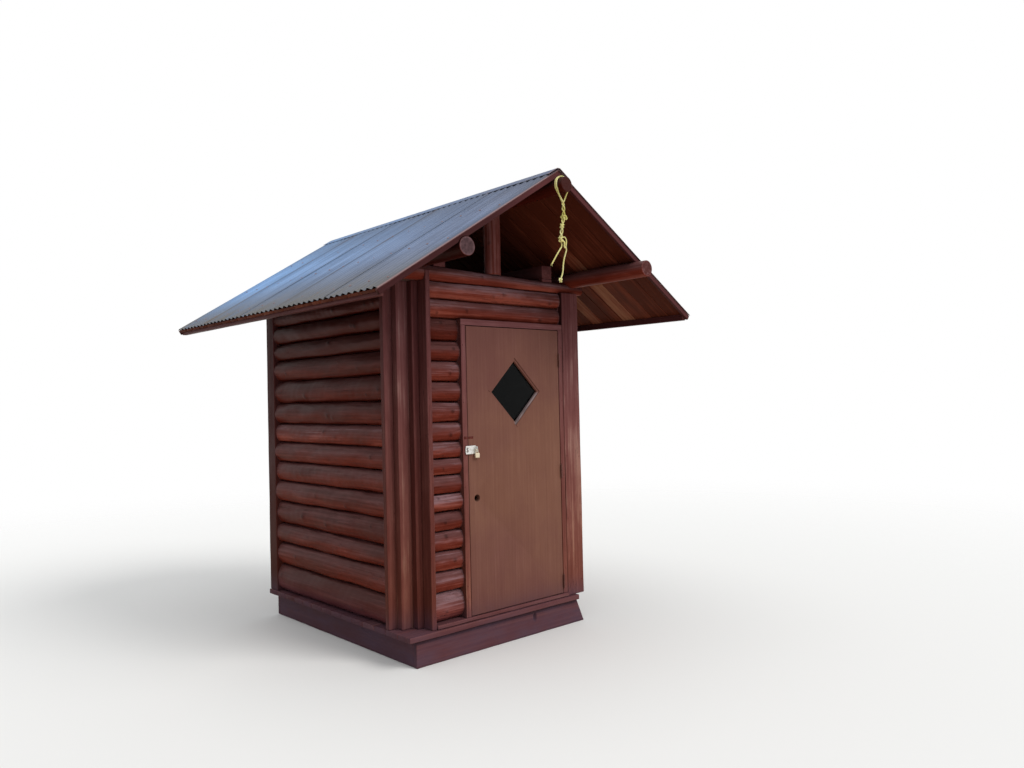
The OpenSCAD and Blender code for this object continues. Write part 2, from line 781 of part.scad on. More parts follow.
// Round cord along points
module cord(points) {
    n = len(points);
    rings = [for (i = [0 : n - 1])
        let (t = unit(points[min(i + 1, n - 1)] - points[max(i - 1, 0)]),
             u = unit(cross(t, [0, 1, 0])), v = cross(t, u))
        for (a = [0 : 360 / rope_sides : 359]) points[i] + rope_r * (cos(a) * u + sin(a) * v)];
    sides = [for (i = [0 : n - 2], j = [0 : rope_sides - 1])
        let (a = i * rope_sides + j, b = i * rope_sides + (j + 1) % rope_sides)
        each [[a, a + rope_sides, b + rope_sides], [a, b + rope_sides, b]]];
    ends = [[for (j = [0 : rope_sides - 1]) j],
            [for (j = [rope_sides - 1 : -1 : 0]) (n - 1) * rope_sides + j]];
    polyhedron(points = rings, faces = concat(sides, ends));
}

module rope_short() {
    color(rope_yellow) cord(short_points);
}

module rope_long() {
    color(rope_yellow) cord(long_points);
}

module rope_knots() {
    color(rope_yellow) for (k = knots) translate(k[0]) sphere(r = k[1], $fn = 24);
}

front_skirt();
side_skirts();
rear_skirt();
floor_joists();
floor_boards();
threshold();
left_end_board();
corner_post();
corner_strip();
left_trim();
right_trim();
right_corner_post();
rear_corner_posts();
left_wall();
right_wall();
rear_wall();
short_logs();
over_door_logs();
front_tie_log();
rear_tie_log();
left_jamb();
right_jamb();
head_jamb();
door_stops();
king_posts();
tie_beams();
ridge_log();
plate_logs();
left_roof_boards();
right_roof_boards();
barge_boards();
eave_strips();
left_roof_sheets();
right_roof_sheets();
ridge_cap();
frame_hinges();
staple();
door_slab();
window_beads();
window_pane();
door_hinges();
hasp();
padlock();
rope_short();
rope_long();
rope_knots();
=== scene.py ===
import math

import bmesh
import bpy
import numpy as np
from mathutils import Matrix


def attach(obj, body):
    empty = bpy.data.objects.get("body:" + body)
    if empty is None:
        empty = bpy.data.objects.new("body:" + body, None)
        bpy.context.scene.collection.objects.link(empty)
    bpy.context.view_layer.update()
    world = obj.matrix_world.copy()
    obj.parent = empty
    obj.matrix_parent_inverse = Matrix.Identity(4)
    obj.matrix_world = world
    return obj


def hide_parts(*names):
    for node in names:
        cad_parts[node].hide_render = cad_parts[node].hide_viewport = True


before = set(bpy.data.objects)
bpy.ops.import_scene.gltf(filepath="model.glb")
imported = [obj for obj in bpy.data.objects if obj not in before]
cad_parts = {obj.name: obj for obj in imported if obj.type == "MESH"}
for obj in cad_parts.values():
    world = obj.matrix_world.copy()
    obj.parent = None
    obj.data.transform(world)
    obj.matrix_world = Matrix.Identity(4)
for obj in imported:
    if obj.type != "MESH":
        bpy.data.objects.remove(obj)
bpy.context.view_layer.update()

# The view: the camera stands to the left of the front, at a grown person's eye height, and looks at
# the front left corner of the house with a slight upward tilt.
scene = bpy.context.scene
camera_data = bpy.data.cameras.new("camera")
camera_data.lens, camera_data.sensor_width = 28.15, 36.0
camera = bpy.data.objects.new("camera", camera_data)
stand = Matrix.Translation((-3.853, -5.247, 1.767))
for axis, degrees in (("Z", -42.16), ("X", 91.05), ("Z", -1.34)):
    stand = stand @ Matrix.Rotation(math.radians(degrees), 4, axis)
camera.matrix_world = stand
scene.collection.objects.link(camera)
scene.camera = camera
scene.view_settings.view_transform = "Standard"


# The stage: a pale floor that fades out into the white behind it, under soft light from the front
# right and from above. The object is lit from below as by dry ground.
class Shader:
    """A node tree to fill. Each method adds one node and gives its first output, or the one called
    out. Inputs are numbers, vectors, colours or other nodes' outputs."""

    def __init__(self, tree):
        self.tree = tree
        tree.nodes.clear()

    def node(self, kind, inputs=(), out=0, **settings):
        made = self.tree.nodes.new("ShaderNode" + kind)
        for name, value in settings.items():
            setattr(made, name, value)
        for name, value in dict(inputs).items():
            socket = made.inputs[name]
            if isinstance(value, bpy.types.NodeSocket):
                self.tree.links.new(value, socket)
            else:
                socket.default_value = (*value, 1) if socket.type == "RGBA" else value
        return made.outputs[out] if len(made.outputs) else None

    def math(self, operation, *values, **settings):
        return self.node("Math", enumerate(values), operation=operation, **settings)

    def vector(self, operation, *values, out=0):
        return self.node("VectorMath", enumerate(values), out, operation=operation)

    def scale(self, colour, factor):
        return self.node("VectorMath", {0: colour, "Scale": factor}, operation="SCALE")

    def span(self, value, low, high, first=0.0, last=1.0, kind="LINEAR"):
        """first to last where value goes from low to high, and held beyond."""
        return self.node("MapRange", enumerate((value, low, high, first, last)), interpolation_type=kind)

    def mix(self, factor, a, b):
        """Colour a where factor is 0 and b where it is 1: inputs 6 and 7 and output 2 are the colours."""
        return self.node("Mix", {"Factor": factor, 6: a, 7: b}, 2, data_type="RGBA")

    def ramp(self, factor, *stops):
        """A colour ramp over stops, each a position and a colour, in rising order."""
        out = self.node("ValToRGB", {"Fac": factor})
        elements = out.node.color_ramp.elements
        for _ in stops[2:]:
            elements.new(0.5)
        for element, (position, colour) in reversed(list(zip(elements, stops))):
            element.position, element.color = position, (*colour, 1)
        return out

    def noise(self, place, scale=1.0, detail=2.0, roughness=0.5):
        return self.node("TexNoise", {"Vector": place, "Scale": scale, "Detail": detail,
                                      "Roughness": roughness}, "Fac")

    def place(self):
        return self.node("TexCoord", out="Object")

    def layer(self, name):
        return self.node("Attribute", out="Vector", attribute_name=name)

    def split(self, vector):
        return self.node("SeparateXYZ", {0: vector}).node.outputs[:]

    def bump(self, height, strength, distance):
        return self.node("Bump", {"Height": height, "Strength": strength, "Distance": distance})

    def surface(self, colour, rough, normal, **more):
        """The Principled shader as the surface. Names in more have _ for each space."""
        inputs = {"Base Color": colour, "Roughness": rough, "Normal": normal}
        inputs.update((name.replace("_", " "), value) for name, value in more.items())
        self.node("OutputMaterial", {"Surface": self.node("BsdfPrincipled", inputs)})


def new_material(name):
    """A new material and the shader that fills it."""
    material = bpy.data.materials.new(name)
    material.use_nodes = True
    return material, Shader(material.node_tree)


studio = bpy.data.worlds.new("studio")
studio.use_nodes = True
s = Shader(studio.node_tree)
ray = s.node("LightPath").node.outputs
seen = s.math("MAXIMUM", ray["Is Camera Ray"], ray["Is Glossy Ray"])
seen = s.math("MAXIMUM", seen, ray["Is Transmission Ray"])
around = s.node("Background", {"Color": (0.90, 0.95, 1.0), "Strength": 0.62})
behind = s.node("Background", {"Color": (1, 1, 1), "Strength": 1.0})
s.node("OutputWorld", {"Surface": s.node("MixShader", {0: seen, 1: around, 2: behind})})
scene.world = studio

for name, turn, tilt, strength, spread in (("key_lamp", 24, 48, 1.5, 30), ("sky_lamp", -70, 12, 0.8, 60)):
    lamp_data = bpy.data.lights.new(name, "SUN")
    lamp_data.energy, lamp_data.angle = strength, math.radians(spread)
    lamp = bpy.data.objects.new(name, lamp_data)
    lamp.rotation_euler = (math.radians(tilt), 0, math.radians(turn))
    scene.collection.objects.link(lamp)

reach, fade_start, fade_end = 30.0, 3.0, 12.0
floor_mesh = bpy.data.meshes.new("floor")
floor_mesh.from_pydata([(-reach, -reach, 0), (reach, -reach, 0), (reach, reach, 0), (-reach, reach, 0)],
                       [], [(0, 1, 2, 3)])
floor = bpy.data.objects.new("floor", floor_mesh)
scene.collection.objects.link(floor)
floor_paint, s = new_material("floor_paint")
shade = s.mix(s.node("LightPath", out="Is Camera Ray"), (0.72, 0.60, 0.49), (0.82, 0.80, 0.77))
fade = s.span(s.vector("LENGTH", s.place(), out="Value"), fade_start, fade_end, kind="SMOOTHSTEP")
matt = s.node("BsdfDiffuse", {"Color": shade})
mixed = s.node("MixShader", {0: fade, 1: matt, 2: s.node("BsdfTransparent")})
s.node("OutputMaterial", {"Surface": mixed})
floor_mesh.materials.append(floor_paint)


# The rope: yellow three-strand plastic rope, 10 mm thick, over the front end of the ridge log. One
# strand goes down the log's left side, the other once over it. Below they twist and are knotted.
def skin(rings, loop=False):
    """Faces over a grid of points (n rings of k points), turned outwards: quads round the rings from each
    to the next, then a flat face on each end or, if loop is true, quads from the last to the first."""
    n, k = rings.shape[:2]
    i, j = np.meshgrid(np.arange(n if loop else n - 1), np.arange(k), indexing="ij")
    after, later = (j + 1) % k, (i + 1) % n
    quads = np.stack([i * k + j, i * k + after, later * k + after, later * k + j], -1).reshape(-1, 4)
    caps = [] if loop else [np.arange(k)[::-1], np.arange((n - 1) * k, n * k)]
    points = rings.reshape(-1, 3)
    a, b, c, d = (points[quads[:, m]] for m in range(4))
    if np.einsum("ij,ij->", np.cross(c - a, d - b), (a + b + c + d) / 4 - points.mean(0)) < 0:
        quads, caps = quads[:, ::-1], [cap[::-1] for cap in caps]
    return np.concatenate([quads.ravel(), *caps]), np.repeat([4, k], [len(quads), len(caps)])


def add_piece(name, mesh, grain, wear, slot, node, body, material, sharp):
    """The mesh as one object: it rides on body, takes slot's finish, stands for the CAD node if one is
    given, is creased where its faces meet at more than sharp degrees, and keeps grain and wear."""
    mesh.set_sharp_from_angle(angle=math.radians(sharp))
    for label, values in (("grain", grain), ("wear", wear)):
        layer = mesh.attributes.new(label, "FLOAT_VECTOR", "POINT")
        layer.data.foreach_set("vector", values.astype(np.float32).ravel())
    mesh.materials.clear()
    mesh.materials.append(material or finishes[slot])
    piece = bpy.data.objects.new(name, mesh)
    scene.collection.objects.link(piece)
    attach(piece, body)
    if node:
        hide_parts(node)
    return piece


def make_piece(name, parts, slot, node=None, body="house", sharp=40):
    """One object from parts, each a dict with rings (n, k, 3) and, if it has them, its grain and wear
    on the same grid."""
    points, corners, sides, grains, wears = [], [], [], [], []
    start = 0
    for part in parts:
        ring = part["rings"]
        these, counts = skin(ring, part.get("loop", False))
        points.append(ring.reshape(-1, 3))
        corners.append(these + start)
        sides.append(counts)
        grains.append(np.broadcast_to(part.get("grain", ring), ring.shape).reshape(-1, 3))
        wears.append(np.broadcast_to(part.get("wear", 0.0), ring.shape).reshape(-1, 3))
        start += len(points[-1])
    points, corners, sides, grains, wears = map(np.concatenate, (points, corners, sides, grains, wears))
    mesh = bpy.data.meshes.new(name)
    mesh.vertices.add(len(points))
    mesh.vertices.foreach_set("co", points.astype(np.float32).ravel())
    mesh.loops.add(len(corners))
    mesh.loops.foreach_set("vertex_index", corners.astype(np.int32))
    mesh.polygons.add(len(sides))
    mesh.polygons.foreach_set("loop_start", (np.cumsum(sides) - sides).astype(np.int32))
    mesh.update(calc_edges=True)
    mesh.validate()
    mesh.polygons.foreach_set("use_smooth", np.ones(len(sides), bool))
    return add_piece(name, mesh, grains, wears, slot, node, body, None, sharp)


def smooth_route(points, step):
    """Points every step along a Catmull-Rom curve through the given ones, which are in millimetres."""
    p = np.asarray(points, float) / 1000
    p = np.concatenate([[2 * p[0] - p[1]], p, [2 * p[-1] - p[-2]]])
    t = np.linspace(0, 1, 12, endpoint=False)[None, :, None]
    a, b, c, d = (p[m:len(p) - 3 + m, None] for m in range(4))
    bend = (2 * a - 5 * b + 4 * c - d) * t ** 2 + (3 * b - a - 3 * c + d) * t ** 3
    curve = 0.5 * (2 * b + (c - a) * t + bend)
    curve = np.concatenate([curve.reshape(-1, 3), p[-2:-1]])
    run = np.concatenate([[0], np.cumsum(np.linalg.norm(np.diff(curve, axis=0), axis=1))])
    even = np.linspace(0, run[-1], max(4, int(round(run[-1] / step))))
    return np.column_stack([np.interp(even, run, curve[:, m]) for m in range(3)])


def tube(path, radius, sides=16, lobes=0, dent=0.28, lay=0.026):
    """A tube round a path: circles of the given radius, dented by dent between the lobes, which turn
    once round the path in each length lay. The circles' own turning is kept least from one to the next."""
    ahead = np.gradient(path, axis=0)
    ahead /= np.linalg.norm(ahead, axis=1)[:, None]
    across = np.zeros_like(path)
    side = np.cross(ahead[0], [0.13, 0.97, 0.2])
    for m, t in enumerate(ahead):
        side = side - t * (side @ t)
        side /= np.linalg.norm(side)
        across[m] = side
    run = np.concatenate([[0], np.cumsum(np.linalg.norm(np.diff(path, axis=0), axis=1))])
    turn = np.linspace(0, 2 * np.pi, sides, endpoint=False)[None, :]
    every, given = np.linspace(0, 1, len(path)), np.linspace(0, 1, np.size(radius))
    wide = np.interp(every, given, np.ravel(radius))[:, None]
    if lobes:
        swirl = turn - 2 * np.pi * run[:, None] / lay
        wide = wide * (1 - dent * (1 - np.abs(np.cos(lobes * swirl / 2))) ** 1.5)
    other = np.cross(ahead, across)
    rings = path[:, None] + wide[..., None] * (np.cos(turn)[..., None] * across[:, None]
                                               + np.sin(turn)[..., None] * other[:, None])
    grain = np.stack(np.broadcast_arrays(run[:, None], turn, run[:, None] / lay), -1)
    return {"rings": rings, "grain": grain}


rope_yarn, s = new_material("rope_yarn")
_, around, turns = s.split(s.layer("grain"))
swirl = s.math("MULTIPLY_ADD", turns, -2 * math.pi, around)
groove = s.math("ABSOLUTE", s.math("COSINE", s.math("MULTIPLY", swirl, 1.5)))
yarns = s.math("SINE", s.math("MULTIPLY", swirl, 14.0))
fuzz = s.noise(s.place(), 900.0)
tint = s.ramp(s.noise(s.place(), 9.0, 3.0), (0.35, (0.68, 0.60, 0.15)), (0.68, (0.86, 0.80, 0.36)))
# The rope is darker in the grooves between its strands: painted shade.
s.surface(s.scale(tint, s.span(groove, 0, 0.45, 0.55, 1.0)), s.span(fuzz, 0, 1, 0.35, 0.6),
          s.bump(s.math("MULTIPLY_ADD", yarns, 0.3, fuzz), 0.5, 0.0006),
          Subsurface_Weight=0.08, Subsurface_Radius=(0.004, 0.003, 0.001))
finishes = {"rope": rope_yarn}

rope_r = 0.005
# The routes, in millimetres. Both strands lie over the log, and below it they twist round one line.
over_log = [(0, 3246), (-16, 3244), (-31, 3237), (-44, 3227), (-53, 3214), (-58, 3198), (-59, 3182),
            (-56, 3166), (-48, 3152)]
twist_line = [(13, 3063), (14, 3044), (15, 3024), (15, 3004), (15, 2984), (12, 2965), (6, 2945), (0, 2925),
              (-4, 2905), (-7, 2886), (-11, 2866), (-15, 2846), (-19, 2826)]
hang_y, twist_r = -1530, 7.9


def at_depth(y, points):
    """Points (x, z) at the depth y."""
    return np.insert(np.array(points, float), 1, y, axis=1)


quarters = np.arange(len(twist_line)) * np.pi / 2
twist = twist_r * np.column_stack([np.cos(quarters), np.sin(quarters), 0 * quarters])
short_route = np.concatenate([
    at_depth(hang_y, over_log + [(-27, 3124)]), [(-6, -1527, 3098), (12, -1522, 3080)],
    at_depth(hang_y, twist_line) + twist, [(-10, -1528, 2809)],
    at_depth(hang_y, [(-9, 2791), (-13, 2773), (-27, 2755), (-41, 2738), (-56, 2719), (-71, 2699),
                      (-85, 2680), (-98, 2662), (-108, 2649)])])
long_route = np.concatenate([
    [(-2, -1543, 3074)],
    at_depth(-1542, [(-18, 3097), (-37, 3122), *over_log[::-1], (15, 3244), (29, 3238), (41, 3229),
                     (51, 3218), (57, 3204), (59, 3189), (58, 3174), (53, 3160), (38, 3136)]),
    [(26, -1539, 3108), (12, -1538, 3080)], at_depth(hang_y, twist_line) - twist,
    [(-18, -1540, 2813), (1, -1542, 2807), (19, -1536, 2794)],
    at_depth(hang_y, [(29, 2775), (33, 2757), (27, 2738), (19, 2718), (11, 2698), (5, 2678), (1, 2659),
                      (-2, 2639), (-4, 2619), (-8, 2599), (-15, 2581), (-23, 2566), (-29, 2550)])])
slack_routes = [
    [(14, -1536, 2984), (24, -1541, 2980), (33, -1543, 2972), (31, -1541, 2962), (20, -1536, 2964)],
    [(-6, -1537, 2920), (-16, -1542, 2922), (-21, -1542, 2914), (-14, -1539, 2906), (-4, -1536, 2908)],
    [(-14, -1537, 2834), (4, -1543, 2838), (17, -1546, 2822), (18, -1546, 2795), (8, -1545, 2768),
     (-1, -1544, 2777), (0, -1544, 2802), (-10, -1540, 2818)]]
draw = np.random.default_rng(5)
tied = []
for middle, reach in (((15, -1530, 2976), 19), ((-3, -1530, 2915), 16), ((-19, -1530, 2824), 18),
                      ((-29, -1530, 2550), 13)):
    # One overhand knot pulled tight: a trefoil (sin t + 2 sin 2t, cos t - 2 cos 2t, -1.9 sin 3t),
    # squeezed until the rope that follows it fills the knot's ball.
    t = np.linspace(0, 2 * np.pi, 72, endpoint=False)
    loop = [np.sin(t) + 2 * np.sin(2 * t), np.cos(t) - 2 * np.cos(2 * t), -1.9 * np.sin(3 * t)]
    loop = np.column_stack(loop) * ((reach / 1000 - rope_r * 0.4) / 3.0)
    spin, lean = draw.uniform(0, 2 * np.pi), draw.uniform(-0.5, 0.5)
    posed = np.array(Matrix.Rotation(spin, 3, "Z") @ Matrix.Rotation(math.pi / 2 + lean, 3, "X"))
    tied.append(dict(tube(loop @ posed.T + np.array(middle) / 1000, rope_r * 0.92, 18, 3), loop=True))
# Slack in the rope, two small ears and a long loop, and the cut ends, where the yarns have come apart.
tied += [tube(smooth_route(route, 0.002), rope_r * 0.85, 16, 3) for route in slack_routes]
for foot, count in (((-29, -1530, 2546), 12), ((-108, -1530, 2650), 7)):
    for _ in range(count):
        hang = draw.normal([0, 0, -12], [8, 8, 4])
        yarn = [foot, foot + 0.5 * hang + draw.normal(0, 1.5, 3), foot + hang]
        tied.append(tube(smooth_route(yarn, 0.004), [0.0011, 0.0009, 0.0007, 0.0004], 6, lay=0.03))
knots = make_piece("rope_knots_tied", tied, "rope", "rope_knots", sharp=80)

for name, route, node, end in [("rope_short_strand", short_route, "rope_short", "bare"),
                               ("rope_long_strand", long_route, "rope_long", "knot")]:
    path = smooth_route(route, 0.0016)
    strand_piece = make_piece(name, [tube(path, rope_r, 24, 3)], "rope", node, sharp=80)


# The wood of the whole house: pine logs and sawn boards, stained and painted barn red by brush more
# than once, so that the grain, the knots and the long drying cracks still show through.
def wood_group():
    """Grain, cracks, brush marks and blotches of wood, worked out in the board's own coordinates (X
    along it). Rings are circles round the pith that noise pulls about; fibres and cracks are noise
    drawn out along the board."""
    tree = bpy.data.node_groups.new("wood_grain", "ShaderNodeTree")
    tree.interface.new_socket("Grain", in_out="INPUT", socket_type="NodeSocketVector")
    s = Shader(tree)
    start = tree.nodes.new("NodeGroupInput").outputs["Grain"]
    _, y, z = s.split(start)
    off = s.vector("LENGTH", s.node("CombineXYZ", {"Y": y, "Z": z}), out="Value")
    pulled = s.math("MULTIPLY_ADD", s.noise(s.vector("MULTIPLY", start, (1.3, 9.0, 9.0))), 0.05, off)
    found = {"Rings": s.span(s.math("SINE", s.math("MULTIPLY", pulled, 1250.0)), -1, 1)}
    for label, along, across, detail in (("Fibre", 9.0, 260.0, 4.0), ("Crack", 1.1, 34.0, 3.0),
                                         ("Blotch", 2.4, 7.0, 4.0), ("Streak", 1.0, 60.0, 5.0)):
        found[label] = s.noise(s.vector("MULTIPLY", start, (along, across, across)), 1.0, detail, 0.6)
    narrow = s.math("ABSOLUTE", s.math("SUBTRACT", found["Crack"], 0.5))
    found["Crack"] = s.math("MULTIPLY", s.span(narrow, 0, 0.006, 1, 0), s.span(found["Blotch"], 0.5, 0.62))
    for label in found:
        tree.interface.new_socket(label, in_out="OUTPUT", socket_type="NodeSocketFloat")
    end = tree.nodes.new("NodeGroupOutput")
    for label, socket in found.items():
        tree.links.new(socket, end.inputs[label])
    return tree


grain_group = wood_group()
white = (1, 1, 1)
splash_and_sky_low, splash_and_sky_high, splash_and_sky_colour = 0.10, 0.42, (0.078, 0.052, 0.082)


def wood_material(name, deep, plain, pale, end_tone, gloss=0.42, cracks=1.0, fibre=0.5, sky=(0, 0, 1),
                  faces=(-0.15, 0.75), lit_side_tint=white, kept=white, high=white, low=white, cast=None):
    """Painted wood: the colour runs from deep to pale with the blotches and streaks, goes almost black
    in the cracks and dark round the knots, and is end_tone with rings on sawn ends. The wear's third
    value darkens it too, and on some pieces that is painted shade. Faces that look towards sky are
    multiplied by lit_side_tint and the others by kept. This is painted light: a painted sky reflection
    on the logs' tops, a painted lit tint on the boards' fronts, and painted shade on the other side.
    High parts of the house are multiplied by high and low parts by low. faces holds the two cosines
    between which lit_side_tint takes over from kept. cast, if it is given, changes the colour at the end."""
    material, s = new_material(name)
    tone, end, knot = s.split(s.layer("wear"))
    wood = s.node("Group", {"Grain": s.layer("grain")}, node_tree=grain_group).node.outputs
    rings, fibres, crack, blotch, streak = wood
    light = s.math("MULTIPLY_ADD", streak, 0.6, s.math("MULTIPLY_ADD", blotch, 0.55, tone))
    colour = s.ramp(light, (0.62, deep), (0.86, plain), (1.0, pale))
    colour = s.scale(colour, s.span(fibres, 0.3, 0.7, 1 - 0.28 * fibre, 1 + 0.22 * fibre))
    # Painted light: faces towards sky are tinted as lit, the others as shaded.
    facing = s.vector("DOT_PRODUCT", s.node("NewGeometry", out="Normal"), sky, out="Value")
    facing = s.span(s.math("MULTIPLY_ADD", streak, 0.6, facing), *faces, kind="SMOOTHSTEP")
    colour = s.vector("MULTIPLY", colour, s.mix(facing, kept, lit_side_tint))
    _, _, z = s.split(s.place())
    colour = s.vector("MULTIPLY", colour, s.mix(s.span(z, 0.5, 2.3), low, high))
    ringed = s.math("MULTIPLY", s.span(rings, 0, 1, 0.62, 1.1), s.span(streak, 0.35, 0.65, 0.7, 1.3))
    colour = s.mix(end, colour, s.scale(end_tone, ringed))
    # The third wear value darkens knots and cracks, and on some pieces it is painted shade.
    dark_mark_and_shade = s.math("MAXIMUM", s.math("MULTIPLY", crack, cracks), knot)
    colour = s.scale(colour, s.span(dark_mark_and_shade, 0, 1, 1.0, 0.3))
    # Purplish grey in blotches low down: partly splashed dirt, partly a painted sky reflection.
    splash_and_sky_tint = s.span(z, splash_and_sky_low, splash_and_sky_high, 1.3, 0.0, "SMOOTHSTEP")
    colour = s.mix(s.math("MULTIPLY", splash_and_sky_tint, blotch), colour, splash_and_sky_colour)
    if cast:
        colour = cast(s, colour)
    rough = s.math("MULTIPLY_ADD", end, 0.3, s.span(blotch, 0.3, 0.7, gloss - 0.07, gloss + 0.12))
    height = s.math("MULTIPLY_ADD", crack, -2.5 * cracks, s.math("MULTIPLY_ADD", fibres, 0.35, streak))
    s.surface(colour, rough, s.bump(height, 0.7, 0.0012), Specular_IOR_Level=0.07,
              Specular_Tint=(0.75, 0.38, 0.32))
    return material


# The logs' tops get a painted bluish sky reflection and their undersides a painted warm light from the
# ground. The boards are painted lighter on their front faces and darker on the others.
finishes["red_log"] = wood_material(
    "red_log_stain", (0.063, 0.013, 0.008), (0.130, 0.033, 0.022), (0.23, 0.083, 0.062),
    (0.13, 0.072, 0.078), 0.40, lit_side_tint=(1.03, 1.60, 2.3), kept=(1.18, 0.78, 0.68))
finishes["red_board"] = wood_material(
    "red_board_paint", (0.090, 0.027, 0.024), (0.150, 0.057, 0.050), (0.245, 0.13, 0.105),
    (0.07, 0.026, 0.02), 0.48, 0.8, 0.4, (0, -1, 0.3), (0.25, 1.05), (1.22, 1.22, 1.25), (0.68, 0.62, 0.62),
    (0.97, 1.02, 1.16), (1.1, 1.0, 0.82))
finishes["roof_board"] = wood_material(
    "roof_board_stain", (0.065, 0.014, 0.007), (0.15, 0.038, 0.02), (0.24, 0.105, 0.06),
    (0.07, 0.028, 0.018), 0.6, 0.8, 0.6)


# The base: beams on the ground with joists between them, the deck boards across the house, and a
# threshold under the door. All are sawn planks, nailed, and red paint covers what shows.
def ripple(x, y, size, draw):
    """Smooth unevenness from about -1 to 1 over x and y: the sum of five sine waves of random direction
    and phase, with wavelengths near size."""
    total = 0.0
    for turn, stretch, phase in draw.uniform([0, 0.6, 0], [np.pi, 1.7, 2 * np.pi], (5, 3)):
        total = total + np.sin(2 * np.pi * (x * np.cos(turn) + y * np.sin(turn)) / (size * stretch) + phase)
    return total / 3.2


def rounded_outline(w, t, r, inset, step):
    """Points round rectangles w wide and t thick with corners of radius r, drawn in by inset: each
    corner turns in three steps, and each side is split evenly. r and inset hold one value a ring."""
    corners, outline = [], []
    for quarter, (sx, sy) in enumerate([(1, 1), (-1, 1), (-1, -1), (1, -1)]):
        angle = np.radians([0, 30, 60, 90]) + quarter * np.pi / 2
        cx, cy, reach = sx * (w / 2 - r)[:, None], sy * (t / 2 - r)[:, None], (r - inset)[:, None]
        corners.append(np.stack([cx + reach * np.cos(angle), cy + reach * np.sin(angle)], -1))
    for quarter, side in enumerate([w, t, w, t]):
        a, b = corners[quarter][:, -1:], corners[(quarter + 1) % 4][:, :1]
        even = np.linspace(0, 1, max(1, int(round(side / step))) + 1)[1:-1]
        share = np.concatenate([[0.04], even, [0.96]])[None, :, None]
        outline += [corners[quarter], a * (1 - share) + b * share]
    return np.concatenate(outline, 1)


def board(lo, hi, along, draw, ease=0.002, step=0.05, run_step=0.08, uneven=0.0006, tone=None, end=0.35):
    """A sawn board between the corners lo and hi, its grain along the axis along (0, 1 or 2). The outline
    is a rectangle with worn corners, carried along the board, whose ends are eased over; its faces
    are uneven by a little, always inwards."""
    lo, hi = np.array(lo, float), np.array(hi, float)
    other = [m for m in range(3) if m != along]
    length, (w, t) = (hi - lo)[along], (hi - lo)[other]
    edge = ease * np.array([0, 0.35, 1, 2.2])
    drawn = ease * np.array([0.95, 0.3, 0, 0])
    inner = np.linspace(edge[-1], length - edge[-1], max(3, int(round(length / run_step))))[1:-1]
    run = np.concatenate([edge, inner, length - edge[::-1]])
    inset = np.concatenate([drawn, 0 * inner, drawn[::-1]])
    worn = ease * (1.25 + 0.6 * ripple(run, 0 * run, 0.35, draw)).clip(1.0, 2.4)
    flat = rounded_outline(w, t, worn, np.minimum(inset, worn * 0.95), step)
    dip = uneven * np.minimum(ripple(run[:, None], flat[..., 0] * 3, 0.5, draw) - 1.0, 0)
    flat = flat * (1 + dip[..., None] / np.array([w / 2, t / 2]))
    place = np.zeros((*flat.shape[:2], 3))
    place[..., along] = run[:, None] - length / 2
    place[..., other] = flat
    pith = draw.uniform([-0.2, 0.02], [0.2, 0.12]) * draw.choice([-1, 1], 2)
    grain = np.stack([place[..., along] + draw.uniform(-20, 20), flat[..., 0] + pith[0],
                      flat[..., 1] + pith[1]], -1)
    wear = np.zeros_like(place)
    wear[..., 0] = draw.uniform(0.05, 0.3) if tone is None else tone
    wear[..., 1] = end * (inset > 0.5 * ease)[:, None]
    return {"rings": place + (lo + hi) / 2, "grain": grain, "wear": wear}


draw = np.random.default_rng(11)
front_y, rear_y, wall_x = -0.868, 1.149, 0.850
deck_z, sill_z = 0.222, 0.250
skirt_h, skirt_t, skirt_cut = 0.184, 0.038, 0.080
skirt_x0, skirt_x1 = -0.788, 0.745
skirt_y0, skirt_y1 = front_y + 0.002, rear_y - 0.006
knot_x, knot_z, nose_shadow_z = 0.291, 0.130, 0.150
beam = board((skirt_x0, skirt_y0, 0), (skirt_x1, skirt_y0 + skirt_t, skirt_h), 0, draw, 0.004, 0.005, 0.006)
x, y, z = np.moveaxis(beam["rings"], -1, 0)
x += skirt_cut * np.clip((x - skirt_x0) / (skirt_x1 - skirt_x0), 0, 1) * (1 - z / skirt_h)
knot = np.hypot((x - knot_x) / 0.014, (z - knot_z) / 0.029)
knot[y > skirt_y0 + 0.01] = 9.0
y += 0.014 * np.exp(-knot ** 4)
# Dark in the knot hole, painted shade in its hollow over the knot's own colour, and a painted shadow along
# the top where the deck's nose overhangs.
beam["wear"][..., 2] = 1.2 * np.exp(-(knot / 1.25) ** 4) + 1.2 * ((z - nose_shadow_z) / 0.010).clip(0, 1)
make_piece("front_beam", [beam], "red_board", "front_skirt")


def bearers(places):
    """Planks on edge that run from the front beam to the rear one, the left side of each at an x."""
    return [board((x0, skirt_y0 + skirt_t, 0), (x0 + skirt_t, skirt_y1 - skirt_t, skirt_h), 1, draw, 0.004)
            for x0 in places]


make_piece("side_beams", bearers((skirt_x0, skirt_x1 - skirt_t)), "red_board", "side_skirts")
rear_beam = board((skirt_x0, skirt_y1 - skirt_t, 0), (skirt_x1, skirt_y1, skirt_h), 0, draw, 0.004)
make_piece("rear_beam", [rear_beam], "red_board", "rear_skirt")
joist_step = (skirt_x1 - skirt_x0 - skirt_t) / 4
make_piece("joists", bearers(skirt_x0 + m * joist_step for m in (1, 2, 3)), "red_board", "floor_joists")
